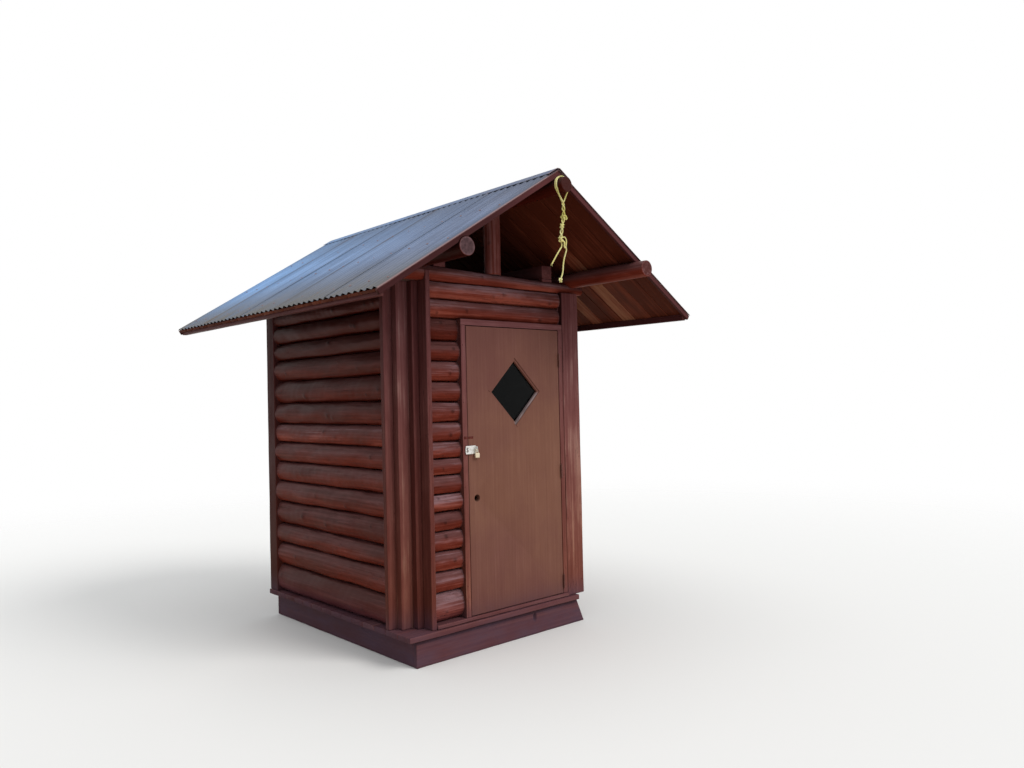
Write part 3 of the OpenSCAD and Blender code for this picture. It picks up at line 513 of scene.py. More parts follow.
# The first deck board sticks out past the front beam, and is cut off level with the beam's right end.
deck_x0, deck_x1, deck_y0, deck_count, deck_gap = -0.860, 0.800, front_y - 0.030, 14, 0.0015
deck_step = (rear_y - deck_y0 + 0.0005) / deck_count
planks = []
for m in range(deck_count):
    y0, x1 = deck_y0 + m * deck_step, skirt_x1 if m == 0 else deck_x1
    planks.append(board((deck_x0, y0, skirt_h), (x1, y0 + deck_step - deck_gap, deck_z), 0, draw, 0.004))
make_piece("deck_planks", planks, "red_board", "floor_boards")
front_x0, front_x1, frame_back_y = -0.618, 0.651, -0.736
sill_y = front_y - 0.012
sill = board((front_x0, sill_y, deck_z), (front_x1, frame_back_y, sill_z), 0, draw, 0.005, 0.03, 0.04)
make_piece("threshold_board", [sill], "red_board", "threshold")

# The stepped uprights at the front left corner, each set back behind the next, and the squared
# posts and the wide board at the other corners. The boards are nailed through their faces.
draw = np.random.default_rng(12)
tie_z, plate_seat_z, rear_post_w = 2.591, 2.634, 0.130
rear_post_y = rear_y - rear_post_w
trim_x0, trim_x1, trim_t = -0.656, 0.835, 0.038
uprights = {
    "left_end_board": [((-0.855, -0.645, deck_z), (-0.735, -0.600, plate_seat_z))],
    "corner_post": [((-0.791, -0.709, deck_z), (-0.665, -0.645, tie_z))],
    "corner_strip": [((-0.702, -0.767, deck_z), (front_x0, -0.709, tie_z))],
    "left_trim": [((trim_x0, front_y, deck_z), (front_x0, front_y + 0.101, tie_z)),
                  ((trim_x0, front_y, tie_z - 0.003), (front_x0, front_y + 0.045, tie_z + 0.064))],
    "right_trim": [((front_x1, front_y, deck_z), (trim_x1, front_y + trim_t, tie_z))],
    "right_corner_post": [((front_x1, front_y + trim_t, deck_z), (trim_x1, frame_back_y, tie_z))],
    "rear_corner_posts": [((-wall_x, rear_post_y, deck_z), (-wall_x + rear_post_w, rear_y, tie_z)),
                          ((wall_x - rear_post_w, rear_post_y, deck_z), (wall_x, rear_y, tie_z))]}
tones = {"left_end_board": 0.2, "left_trim": 0.1, "corner_strip": 0.05, "rear_corner_posts": -0.05}
for node, corners in uprights.items():
    made = [board(lo, hi, 2, draw, 0.004, 0.03, 0.04, tone=tones.get(node)) for lo, hi in corners]
    wear = made[0]["wear"]
    if node == "right_trim":
        # Paler in the middle and towards its right edge, darker towards the top and the bottom, and a
        # painted shadow along the seam with the door frame.
        x, _, z = np.moveaxis(made[0]["rings"], -1, 0)
        wear[..., 0] = np.interp(z, [0.3, 0.7, 1.6, 2.0, 2.4], [0.1, 0.26, 0.28, 0.26, 0.04])
        wear[..., 0] += 0.06 * ((x - 0.66) / 0.15).clip(0, 1)
        wear[..., 2] = 0.8 * (x < 0.6565)
    # Painted shade: the rear corner posts are given a low tone and darkened.
    if node == "rear_corner_posts":
        wear[..., 2] = 0.4
    make_piece(node + "_timber", made, "red_board", node)


# The log walls: debarked pine logs in rows, sawn flat inside and hewn flat where they meet, with
# butts and tips by turns. Their faces keep the tree's own bends, knots and drying cracks.
def knotted(wave, x, turn, radius, count, places, turns, sizes, draw):
    """The wave pushed out by a bell at each of count knots, set at random along and round a log, and a
    mark that is 1 at the heart of each and falls off past two thirds of its size."""
    mark = np.zeros_like(wave)
    for _ in range(count):
        where, middle, size = draw.uniform(*places), draw.uniform(*turns), draw.uniform(*sizes)
        gap = (turn - middle + np.pi) % (2 * np.pi) - np.pi
        away = np.hypot(x - where, gap * radius) / size
        wave = wave + 0.2 * size * np.exp(-away ** 2)
        mark = np.maximum(mark, np.exp(-(away * 1.5) ** 4))
    return wave, mark


def wall_log(length, h, butt_first, draw, tones, step, depth=0.120, around=23):
    """A log from x = 0 to length, its round face towards -Y with the outermost point at y = 0. The
    outline is an arc of radius 0.66 h, less 3 percent at the tip, with rounded corners where the rows
    meet, a flat top and bottom and a flat back. The arc is pushed in by waves along and round the log
    and out at the knots."""
    run = np.linspace(0, length, max(8, int(round(length / step))))
    butt = 0.66 * h
    radius = (butt - 0.03 * h * (run / length if butt_first else 1 - run / length))[:, None]
    share = np.sin(np.linspace(-np.pi / 2, np.pi / 2, around))[None, :]
    turn = np.arcsin(0.985 * h / 2 / radius) * share
    x = np.broadcast_to(run[:, None], turn.shape)
    wave = 0.0040 * (ripple(x, turn * radius * 4, 0.55, draw) - 1.0)
    wave = wave + 0.0011 * ripple(x, turn * radius * 3, 0.09, draw)
    edge = np.clip((np.abs(share) - 0.86) / 0.14, 0, 1) ** 2
    wave = wave - edge * (0.004 + 0.003 * ripple(x, x * 0, 0.4, draw))
    count = int(draw.integers(1, 4) if length > 0.6 else draw.integers(0, 2))
    wave, mark = knotted(wave, x, turn, radius, count, (0.04, length - 0.04), (-0.5, 0.5), (0.012, 0.026),
                         draw)
    y = butt - (radius + wave) * np.cos(turn)
    z = np.clip((radius + wave) * np.sin(turn), -h / 2 + 0.0004, h / 2 - 0.0004)
    back = np.array([[0.30, 1], [1, 1], [1, 0.3], [1, -0.3], [1, -1], [0.30, -1]])
    tail = y[:, -1:] + (depth - y[:, -1:]) * back[None, :, 0]
    y = np.concatenate([y, tail], 1)
    z = np.concatenate([z, np.broadcast_to(back[None, :, 1] * h / 2, tail.shape)], 1)
    x = np.broadcast_to(run[:, None], y.shape)
    grain = np.stack([x + draw.uniform(-20, 20), y - butt + draw.uniform(-0.01, 0.01),
                      z + draw.uniform(-0.01, 0.01)], -1)
    wear = np.zeros_like(grain)
    wear[..., 0] = draw.uniform(*tones)
    wear[:, :around, 2] = 0.75 * mark
    wear[[0, -1], :, 1] = 0.5
    return {"rings": np.stack([x, y, z + h / 2], -1), "grain": grain, "wear": wear}


def log_rows(length, z0, z1, mix, origin, turn, tones=(0.08, 0.24), step=0.018):
    """Rows of wall logs from z0 to z1 with heights in proportion to mix, turned about Z by turn degrees
    and moved to origin. Each is given a tone between the two in tones, and high ones are painted
    darker as shade under the eave."""
    levels = z0 + (z1 - z0) * np.concatenate([[0], np.cumsum(mix)]) / sum(mix)
    c, s = round(math.cos(math.radians(turn))), round(math.sin(math.radians(turn)))
    rows = []
    for m, (low, high) in enumerate(zip(levels, levels[1:])):
        row = wall_log(length, high - low, m % 2 == 0, draw, tones, step)
        # Painted shade under the eave: high rows are darker, and more so on the long walls.
        row["wear"][..., 0] -= 0.22 * np.clip((low - 1.7) / 0.6, 0, 1)
        if length > 1.3:
            row["wear"][..., 2] += 0.4 * np.clip((low - 1.3) / 0.8, 0, 1)
        x, y, z = np.moveaxis(row["rings"], -1, 0)
        row["rings"] = np.stack([c * x - s * y + origin[0], s * x + c * y + origin[1], z + low], -1)
        rows.append(row)
    return rows


side_mix = [220, 180, 155, 185, 170, 160, 160, 150, 170, 180, 170, 135, 145, 120, 110]
short_mix = [200, 140, 135, 135, 130, 125, 125, 115, 115, 130, 140, 140, 140, 140, 155]
head_z1, over_door_w, log_corner, door_left = 2.336, 1.269, (front_x0, -0.856), -0.361
rear_half, side_y0 = wall_x - rear_post_w, -0.600
draw = np.random.default_rng(21)
walls = {
    "left_wall": log_rows(rear_post_y - side_y0, deck_z, plate_seat_z, side_mix, (-wall_x, rear_post_y), -90),
    "right_wall": log_rows(rear_post_y - frame_back_y, deck_z, plate_seat_z, side_mix,
                           (wall_x, frame_back_y), 90),
    "rear_wall": log_rows(2 * rear_half, deck_z, tie_z, side_mix, (rear_half, rear_y), 180),
    # The front logs are given lighter tones than the other walls, partly as painted light on the front, and
    # those over the door lighter still as a painted highlight.
    "short_logs": log_rows(door_left - front_x0, sill_z, head_z1, short_mix, log_corner, 0, (0.23, 0.35),
                           0.011),
    "over_door_logs": log_rows(over_door_w, head_z1, tie_z, [130, 125], log_corner, 0, (0.50, 0.62))}
for node, rows in walls.items():
    make_piece(node + "_hewn", rows, "red_log", node, sharp=50)


# Round logs: the tapered tie logs across the front and the back, the king posts on them, the ridge
# log and the plate logs on the side walls, with two hewn beams that lie across the tie logs.
def round_log(a, b, ra, rb, draw, uneven=0.003, end=1.0, tone=None, sides=36, step=0.02):
    """A whole log from a to b with radii ra and rb: circles along a line, pushed in by waves along and
    round it and out at its knots, three to each metre, with slightly rounded ends. The heart of the
    ends is darker."""
    a, b = np.array(a, float), np.array(b, float)
    length = np.linalg.norm(b - a)
    ease = np.array([0, 0, 0, 0.0012, 0.004, 0.010])
    worn = np.array([0.014, 0.009, 0.0040, 0.0012, 0, 0])
    inner = np.linspace(ease[-1], length - ease[-1], max(4, int(round(length / step))))[1:-1]
    run = np.concatenate([ease, inner, length - ease[::-1]])
    drawn = np.concatenate([worn, 0 * inner, worn[::-1]])
    ahead = (b - a) / length
    side = np.cross(ahead, [0.0, 0.0, 1.0] if abs(ahead[2]) < 0.9 else [1.0, 0.0, 0.0])
    side /= np.linalg.norm(side)
    turn = np.linspace(0, 2 * np.pi, sides, endpoint=False)[None, :]
    radius = (ra + (rb - ra) * run / length - drawn)[:, None]
    x = np.broadcast_to(run[:, None], (len(run), sides))
    wave = ripple(x, np.cos(turn) * 0.3, 0.6, draw) + ripple(x, np.sin(turn) * 0.3, 0.6, draw)
    wave, mark = knotted(uneven * 0.5 * (wave - 1.6), x, turn, radius, int(3 * length), (0.05, length - 0.05),
                         (0, 2 * np.pi), (0.011, 0.022), draw)
    flat = (radius + wave)[..., None] * np.stack([np.cos(turn), np.sin(turn)], -1)
    rings = a + x[..., None] * ahead + flat[..., :1] * side + flat[..., 1:] * np.cross(side, ahead)
    grain = np.stack([x + draw.uniform(-20, 20), flat[..., 0] + 0.004, flat[..., 1] - 0.006], -1)
    wear = np.zeros_like(rings)
    wear[..., 0] = draw.uniform(0.05, 0.3) if tone is None else tone
    wear[..., 1] = end * (drawn > 0.002)[:, None]
    wear[..., 2] = np.maximum(0.75 * mark, 0.42 * (drawn > 0.01)[:, None])
    return {"rings": rings, "grain": grain, "wear": wear}


draw = np.random.default_rng(31)
slope = math.radians(32)
fall = math.tan(slope)
apex_z, ridge_z, frame_y = 3.2727, 3.18667, 1.479
tie_butt, tie_tip, tie_end, tie_hewn = 0.060, 0.041, 0.925, 0.008
tie_level, tie_ys = tie_z + tie_butt - tie_hewn, (front_y + tie_butt, rear_y - tie_butt)
for node, y, side in (("front_tie_log", tie_ys[0], 1), ("rear_tie_log", tie_ys[1], -1)):
    log = round_log((-side * tie_end, y, tie_level), (side * tie_end, y, tie_level - tie_butt + tie_tip),
                    tie_butt, tie_tip, draw, end=0.5)
    ring = log["rings"]
    ring[..., 2] = np.clip(ring[..., 2], tie_z, apex_z - np.abs(ring[..., 0]) * fall - 0.001)
    make_piece(node + "_round", [log], "red_log", node)
tie_top = tie_z - 2 * tie_hewn + tie_butt + tie_tip
post_r, ridge_r, ridge_half = 0.065, 0.054, 1.580
posts = [round_log((0, y, tie_top), (0, y, ridge_z), post_r, post_r, draw, tone=0.28) for y in tie_ys]
make_piece("king_posts_round", posts, "red_log", "king_posts")
# The ridge log is painted darker, and its end dark, as shade under the roof.
ridge = round_log((0, -ridge_half, ridge_z), (0, ridge_half, ridge_z), ridge_r, ridge_r, draw, 0.002, 0.1,
                  -0.1)
ridge["wear"][..., 2] = ridge["wear"][..., 2].clip(0.45)
make_piece("ridge_log_round", [ridge], "red_log", "ridge_log")
plate_x, plate_z, plate_r, plate_half, plate_shift = 0.805, 2.695, 0.063, 1.5555, 0.0445
plates = []
for s in (-1, 1):
    ends = [(s * plate_x, -s * plate_shift + way * plate_half, plate_z) for way in (-1, 1)]
    plates.append(round_log(*ends, plate_r, plate_r, draw, end=0.6 - 0.4 * s))
    plates[-1]["rings"][..., 2] = plates[-1]["rings"][..., 2].clip(plate_seat_z)
# Under the eave the left plate log is painted nearly black as shade, except on its end.
plates[0]["wear"][4:-4, :, 0], plates[0]["wear"][4:-4, :, 2] = -0.1, 1.0
make_piece("plate_logs_round", plates, "red_log", "plate_logs")
beam_w, beam_h, beam_x, beam_y0, beam_y1, block_half = 0.106, 0.104, 0.520, -0.850, 1.131, 0.042
beams = []
for s in (-1, 1):
    high, low = (tie_z - 2 * tie_hewn + 2 * (tie_butt + (tie_tip - tie_butt) * (x + tie_end) / (2 * tie_end))
                 for x in (-beam_x, beam_x))
    x0, x1, foot_y = s * beam_x - beam_w / 2, s * beam_x + beam_w / 2, tie_ys[0 if s > 0 else 1]
    beams.append(board((x0, beam_y0, high), (x1, beam_y1, high + beam_h), 1, draw, 0.005, 0.02, 0.04,
                       0.0015, 0.1, 0.1))
    # The block that lifts the beam to one level where it lies on the thin end of a tie log.
    beams.append(board((x0 + 0.002, foot_y - block_half, low), (x1 - 0.002, foot_y + block_half, high), 0,
                       draw, 0.003, 0.02, 0.03, end=0.1))
make_piece("tie_beams_hewn", beams, "red_board", "tie_beams")

# The door frame: boards flush with the front, with stops nailed inside.
draw = np.random.default_rng(41)
head_z0, stop_z0, stop_y0, stop_y1 = 2.292, 2.280, -0.817, -0.782
open_x0, stop_x0, stop_x1, open_x1 = -0.317, -0.305, 0.595, 0.607
frame_boards = {
    "left_jamb": [((door_left, front_y, sill_z), (open_x0, frame_back_y, head_z0), 2)],
    "right_jamb": [((open_x1, front_y, sill_z), (front_x1, frame_back_y, head_z0), 2)],
    "head_jamb": [((door_left, front_y, head_z0), (front_x1, frame_back_y, head_z1), 0)],
    "door_stops": [((open_x0, stop_y0, sill_z), (stop_x0, stop_y1, head_z0), 2),
                   ((stop_x1, stop_y0, sill_z), (open_x1, stop_y1, head_z0), 2),
                   ((stop_x0, stop_y0, stop_z0), (stop_x1, stop_y1, head_z0), 0)]}
for node, corners in frame_boards.items():
    made = [board(lo, hi, along, draw, 0.002, 0.03, 0.04, tone=0.22) for lo, hi, along in corners]
    make_piece(node + "_board", made, "red_board", node)


# The roof deck: sawn boards that run up both slopes, stained red except a few that were left paler.
# A strip covers their ends along each rake, and a batten is nailed under each eave.
def on_slope(part, side, sheared=True):
    """A part made flat, X down the slope and Z out of it, laid on the roof on side 1 (right) or -1. The
    upper end of a sheared one meets its neighbour's in an upright plane at the ridge."""
    s, y, n = np.moveaxis(part["rings"], -1, 0)
    if sheared:
        s = s - n * fall * np.clip(1 - s / 1.7, 0, 1)
    x = side * (s * math.cos(slope) + n * math.sin(slope))
    z = apex_z - s * math.sin(slope) + n * math.cos(slope)
    return dict(part, rings=np.stack([x, y, z], -1))


draw = np.random.default_rng(51)
board_mix = [139, 160, 172, 138, 110, 110, 120, 150, 138, 165, 120, 142, 155, 128, 160, 135, 148, 140,
             152, 130, 146]
board_t, board_foot, ridge_gap, side_gap = 0.020, 1.6973, 0.0004, 0.0012
edges = -frame_y + 2 * frame_y * np.concatenate([[0], np.cumsum(board_mix)]) / sum(board_mix)
roof_tones = {1: [0.0, 0.06, 0.18, 0.36, 0.08, 0.0, 0.32, 0.06], -1: [0.1, 0.2, 0.1, 0.15]}
for tones in roof_tones.values():
    tones += draw.uniform(0.0, 0.25, len(board_mix) - len(tones)).tolist()
for side, node in ((-1, "left_roof_boards"), (1, "right_roof_boards")):
    deck = []
    for y0, y1, tone in zip(edges, edges[1:], roof_tones[side]):
        plank = board((ridge_gap, y0 + side_gap, 0), (board_foot, y1 - side_gap, board_t), 0, draw, 0.002,
                      0.06, 0.1, 0.0012, 0.0)
        # Painted shade: each board's tone falls off towards the ridge, so the boards are darker up the slope.
        plank["wear"][..., 0] = tone * ((plank["rings"][..., 0] - 0.3) / 0.8).clip(0.1, 1)
        deck.append(on_slope(plank, side))
    make_piece(node + "_sawn", deck, "roof_board", node)
# The rakes are notched over the plate logs. Their upper edge is painted pale as a highlight, and
# their lower part is painted dark as shade, more so on the left.
notch_s, notch_r, rake_t, rake_drop = 0.9888, 0.0634, 0.025, 0.018
rakes = []
for side in (-1, 1):
    for y in (-frame_y - rake_t, frame_y):
        rake = board((ridge_gap, y, -rake_drop), (board_foot, y + rake_t, board_t), 0, draw, 0.003, 0.006,
                     0.010, tone=0.0)
        s, _, n = np.moveaxis(rake["rings"], -1, 0)
        rake["wear"][..., 0] = 0.6 * ((n - 0.012) / 0.006).clip(0, 1) - 0.1
        rake["wear"][..., 2] = (0.75 if side < 0 else 0.2) * ((s - 0.2) / 0.5).clip(0, 1) * (n < 0.014)
        notch = np.sqrt((notch_r ** 2 - (s - notch_s) ** 2).clip(0)) - notch_r
        n[:] = np.where(np.abs(s - notch_s) < notch_r, np.maximum(n, notch), n)
        rakes.append(on_slope(rake, side))
make_piece("rake_strips", rakes, "red_board", "barge_boards")
battens = []
eave_x, batten_t, batten_h = 1.3894, 0.038, 0.050
eave_z = apex_z - eave_x * fall
for side in (-1, 1):
    foot = sorted((side * eave_x, side * (eave_x + batten_t)))
    batten = board((foot[0], -frame_y, eave_z - batten_h), (foot[1], frame_y, eave_z), 1, draw, 0.003, 0.02,
                   0.06)
    x, _, z = np.moveaxis(batten["rings"], -1, 0)
    z -= (z - z.min()) / batten_h * (np.abs(x) - eave_x) * fall
    battens.append(batten)
make_piece("eave_battens", battens, "red_board", "eave_strips")

# The roof metal: galvanised corrugated sheets, every other one lapped over its neighbours, with a
# folded cap over the ridge. All are nailed through the crests, and rust has begun at nails and laps.
metal_len, slope_len, waves, sheets = 3.024, 1.7061, 9, 5
wave_depth, sheet_t, nail_gap = 0.013, 0.0012, 3
pitch = metal_len / (waves * sheets)
metal_s0 = -board_t * fall


def thin_sheet(top, low, flat, marks):
    """A sheet whose rings are its top line and, back again, its bottom line."""
    pairs = {"rings": (top, low), "grain": (flat, flat), "wear": (marks, marks)}
    return {label: np.concatenate([a, b[:, ::-1]], 1) for label, (a, b) in pairs.items()}


def corrugated(first, last, lift, draw):
    """One sheet: a cosine wave across the slope, drawn down it, with slow dents. It holds the waves
    from first to last, and lies lift above the boards."""
    across = np.arange(first * 14, last * 14 + 1) / 14
    down = np.concatenate([[0, 0.01], np.linspace(0.06, slope_len - 0.06, 26), [slope_len - 0.01, slope_len]])
    a, d = np.meshgrid(across, down)
    y = a * pitch - metal_len / 2
    rise = wave_depth / 2 * (1 - np.cos(2 * np.pi * a))
    rise = board_t + rise + lift - 0.0006 * (1 + ripple(y, d, 0.7, draw)).clip(0)
    flat = np.stack([a, d, 0 * a + draw.uniform(0, 1)], -1)
    edge = np.minimum(a - first, last - a)
    marks = np.stack([0 * a + draw.uniform(0, 1), np.exp(-edge * 1.3), 0 * a], -1)
    top, low = (np.stack([d + metal_s0, y, height], -1) for height in (rise + sheet_t, rise))
    return thin_sheet(top, low, flat, marks)


finishes["roof_metal"], s = new_material("galvanised_sheet")
own, place = s.layer("grain"), s.place()
across, down, _ = s.split(own)
tone, lapped, _ = s.split(s.layer("wear"))
spangle = s.node("TexVoronoi", {"Vector": place, "Scale": 70.0}, "Color")
cloud = s.noise(place, 2.2, 5.0)
drip = s.noise(s.vector("MULTIPLY", own, (2.2, 0.9, 5.0)), 1.0, 5.0, 0.65)
# Rust below the nails, which stand in rows, and beside the laps.
nail_x = s.math("WRAP", across, nail_gap / 2 + 0.5, 0.5 - nail_gap / 2)
nail_x = s.math("ABSOLUTE", s.math("MULTIPLY", s.math("SUBTRACT", nail_x, 0.5), pitch))
nail_y = s.math("SUBTRACT", s.math("WRAP", down, 0.59, 0.09), 0.09)
stain = s.math("MULTIPLY", s.span(nail_y, 0, 0.30, 1, 0), s.span(nail_x, 0.003, 0.016, 1, 0))
stain = s.math("MULTIPLY_ADD", lapped, 0.5, s.math("MULTIPLY", stain, 0.5))
rust = s.span(s.math("MULTIPLY", drip, stain), 0.22, 0.62, 0, 0.75)
# The zinc, from dull to bright; at a glance it is painted bluer as a reflection of the sky, and
# more so towards the rear.
base = s.math("MULTIPLY_ADD", tone, 0.12, s.math("MULTIPLY_ADD", cloud, 0.5, drip))
base = s.math("MULTIPLY_ADD", spangle, 0.05, base)
colour = s.ramp(base, (0.45, (0.090, 0.100, 0.115)), (1.0, (0.215, 0.240, 0.275)))
sky_blue_tint = s.mix(s.span(across, 4.0, 42.0), (0.74, 1.00, 1.75), (0.92, 2.15, 3.9))
painted_sky_glance = s.span(s.node("LayerWeight", {"Blend": 0.5}, "Facing"), 0.3, 0.9)
colour = s.vector("MULTIPLY", colour, s.mix(painted_sky_glance, white, sky_blue_tint))
colour = s.scale(colour, s.span(s.math("MULTIPLY", lapped, drip), 0, 0.55, 1.0, 0.45))
# Dust low down, darker towards the ridge, rust, and pink paint slopped over both rakes.
dust = s.math("MULTIPLY", s.span(down, 1.1, 1.68, 0, 1.8), drip, use_clamp=True)
ridge_darkening = s.math("MULTIPLY", s.span(down, 0.8, 0.0, 0, 1.25), cloud, use_clamp=True)
middle = waves * sheets / 2
aside = s.math("ABSOLUTE", s.math("SUBTRACT", across, middle))
slopped = s.span(aside, middle - 0.22, middle - 0.14, 0, 0.8)
for amount, tint in ((dust, (0.125, 0.118, 0.112)), (ridge_darkening, (0.060, 0.055, 0.060)),
                     (rust, (0.11, 0.062, 0.045)), (slopped, (0.27, 0.155, 0.15))):
    colour = s.mix(amount, colour, tint)
s.surface(colour, s.span(base, 0.5, 1.0, 0.60, 0.45), s.bump(drip, 0.25, 0.002),
          Metallic=s.span(rust, 0, 1, 0.22, 0), Specular_IOR_Level=0.2)

draw = np.random.default_rng(61)
for side, node in ((-1, "left_roof_sheets"), (1, "right_roof_sheets")):
    laid = []
    for m in range(sheets):
        lift = 0.0003 if m % 2 == 0 else sheet_t + 0.0012
        first = 0 if m == 0 else m * waves - 0.5
        last = sheets * waves if m == sheets - 1 else (m + 1) * waves + 0.5
        laid.append(on_slope(corrugated(first, last, lift, draw), side, False))
    make_piece(node + "_formed", laid, "roof_metal", node, sharp=60)


def turned(profile, foot, axis, sides=24):
    """Circles round an axis (0, 1 or 2) through foot, one for each pair of distance and radius."""
    profile = np.asarray(profile, float)
    turn = np.linspace(0, 2 * np.pi, sides, endpoint=False)
    rings = np.zeros((len(profile), sides, 3))
    rings[..., axis] = profile[:, :1]
    rings[..., (axis + 1) % 3] = profile[:, 1:] * np.cos(turn)
    rings[..., (axis + 2) % 3] = profile[:, 1:] * np.sin(turn)
    return {"rings": rings + np.asarray(foot, float)}


washer = [(0, 0.0085), (0.0012, 0.008), (0.002, 0.0045), (0.0036, 0.0035), (0.0044, 0.0015)]
roof_nails = []
for side in (-1, 1):
    for down in (0.09, 0.59, 1.09, 1.59):
        for a in np.arange(0.5, waves * sheets, nail_gap):
            y = a * pitch - metal_len / 2 + draw.uniform(-0.002, 0.002)
            foot = (down + metal_s0 + draw.uniform(-0.006, 0.006), y, board_t + wave_depth + sheet_t - 0.0004)
            roof_nails.append(on_slope(turned(washer, foot, 2, 10), side, False))
make_piece("roof_nails_driven", roof_nails, "roof_metal", sharp=50)
cap_reach = 0.110
cap_low = board_t + wave_depth + 2 * sheet_t + 0.0009
along = np.linspace(-metal_len / 2, metal_len / 2, 181)
flap_half = np.array([0.035, 0.1, 0.3, 0.6, 0.9, 0.985, 1])
u, v = np.meshgrid(np.concatenate([-flap_half[::-1], [0], flap_half]), along)
flap = np.abs(u) * cap_reach
wavy = 0.0012 * (1 + ripple(v, u * 0.2, 0.4, draw)) * np.abs(u) ** 2 + 0.003 * (np.abs(u) > 0.99)
crown = cap_low / math.cos(slope) - 0.008 * np.exp(-(u / 0.07) ** 2)
cap_x, cap_z = np.sign(u) * flap * math.cos(slope), apex_z + crown - flap * math.sin(slope) - wavy * 0.6
top, low = (np.stack([cap_x, v, cap_z + rise], -1) for rise in (sheet_t / math.cos(slope), 0))
flat = np.stack([(v + metal_len / 2) / pitch, flap, 0 * u + 0.3], -1)
marks = np.stack([0 * u + 0.1, 0.35 * np.exp(-(1 - np.abs(u)) * 9), 0 * u], -1)
make_piece("ridge_cap_folded", [thin_sheet(top, low, flat, marks)], "roof_metal", "ridge_cap", sharp=60)


# The door: a flush slab with a diamond cut out for the window and a round finger hole, painted flat
# brown red.
def sheet_piece(name, outlines, y_mid, thickness, bevel, slot, node=None, body="door", material=None):
    """A flat piece in the X-Z plane: the first outline with the others cut out of it, thickness deep
    about y_mid, with its corners bevelled. It is a filled flat curve made into a mesh."""
    drawn = bpy.data.curves.new(name, "CURVE")
    drawn.dimensions, drawn.fill_mode = "2D", "BOTH"
    drawn.extrude, drawn.bevel_depth, drawn.bevel_resolution = thickness / 2 - bevel, bevel, 2
    drawn.offset = -bevel
    for outline in outlines:
        spline = drawn.splines.new("POLY")
        spline.points.add(len(outline) - 1)
        flat = np.column_stack([outline, np.zeros(len(outline)), np.ones(len(outline))])
        spline.points.foreach_set("co", flat.ravel())
        spline.use_cyclic_u = True
    carrier = bpy.data.objects.new(name + "_outline", drawn)
    mesh = bpy.data.meshes.new_from_object(carrier)
    bpy.data.objects.remove(carrier)
    mesh.transform(Matrix.Translation((0, y_mid, 0)) @ Matrix.Rotation(math.pi / 2, 4, "X"))
    merge = bmesh.new()
    merge.from_mesh(mesh)
    bmesh.ops.remove_doubles(merge, verts=merge.verts, dist=1e-6)
    bmesh.ops.recalc_face_normals(merge, faces=merge.faces)
    merge.to_mesh(mesh)
    merge.free()
    mesh.name = name
    mesh.polygons.foreach_set("use_smooth", [abs(face.normal.y) < 0.999 for face in mesh.polygons])
    spots = np.zeros(len(mesh.vertices) * 3, np.float32)
    mesh.vertices.foreach_get("co", spots)
    x, y, z = spots.reshape(-1, 3).T
    grain, wear = np.column_stack([z + 3.0, x + 0.4, y]), np.tile([0.2, 0, 0], len(x))
    return add_piece(name, mesh, grain, wear, slot, node, body, material, 50)


def door_paint_and_roof_shade(s, colour):
    """The door's paint, browner or redder in patches and across its width, and darker and redder
    towards the top, as painted shade from the roof, and towards the bottom.
    """
    x, _, z = s.split(s.place())
    # Painted shade from the roof: the top is darker.
    high = s.math("ADD", s.span(z, 1.3, 2.3, -0.15, 0.45), s.span(z, 1.0, 0.35, 0, 0.5))
    patch = s.noise(s.place(), 2.3, 4.0, 0.6)
    fade = s.math("MULTIPLY_ADD", patch, 1.1, s.math("MULTIPLY_ADD", x, -0.35, high))
    return s.vector("MULTIPLY", colour, s.ramp(fade, (0.30, (1.10, 1.02, 0.90)), (0.95, (0.90, 0.76, 0.80))))


finishes["door_paint"] = wood_material(
    "door_flat_paint", (0.165, 0.080, 0.063), (0.187, 0.094, 0.073), (0.217, 0.113, 0.090),
    (0.21, 0.175, 0.185), 0.5, 0.0, 0.06, cast=door_paint_and_roof_shade)
slab_x0, slab_x1, slab_z0, slab_z1 = -0.312, 0.602, 0.255, 2.287
slab_y0, slab_y1 = front_y + 0.002, front_y + 0.046
pane_x, pane_z, pane_r = 0.145, 1.818, 0.250
hole_x, hole_z, hole_r = -0.242, 1.071, 0.025
# The saw ran on past the left and the lower corner of the diamond along its lower left side.
kerf, overrun = 0.0024 * math.sqrt(0.5), 0.020 * math.sqrt(0.5)
left_tip = (pane_x - pane_r - overrun, pane_z + overrun)
low_tip = (pane_x + overrun, pane_z - pane_r - overrun)
diamond_cut = [left_tip, low_tip, (low_tip[0] + kerf, low_tip[1] + kerf),
               (pane_x + kerf, pane_z - pane_r + kerf), (pane_x + pane_r, pane_z), (pane_x, pane_z + pane_r),
               (pane_x - pane_r + kerf, pane_z + kerf), (left_tip[0] + kerf, left_tip[1] + kerf)]
turn = np.linspace(0, 2 * np.pi, 40, endpoint=False)
finger_hole = np.column_stack([hole_x + hole_r * np.cos(turn), hole_z + hole_r * np.sin(turn)])
slab_edge = [(slab_x0, slab_z0), (slab_x1, slab_z0), (slab_x1, slab_z1), (slab_x0, slab_z1)]
sheet_piece("door_panel", [slab_edge, diamond_cut, finger_hole], (slab_y0 + slab_y1) / 2, slab_y1 - slab_y0,
            0.0015, "door_paint", "door_slab")


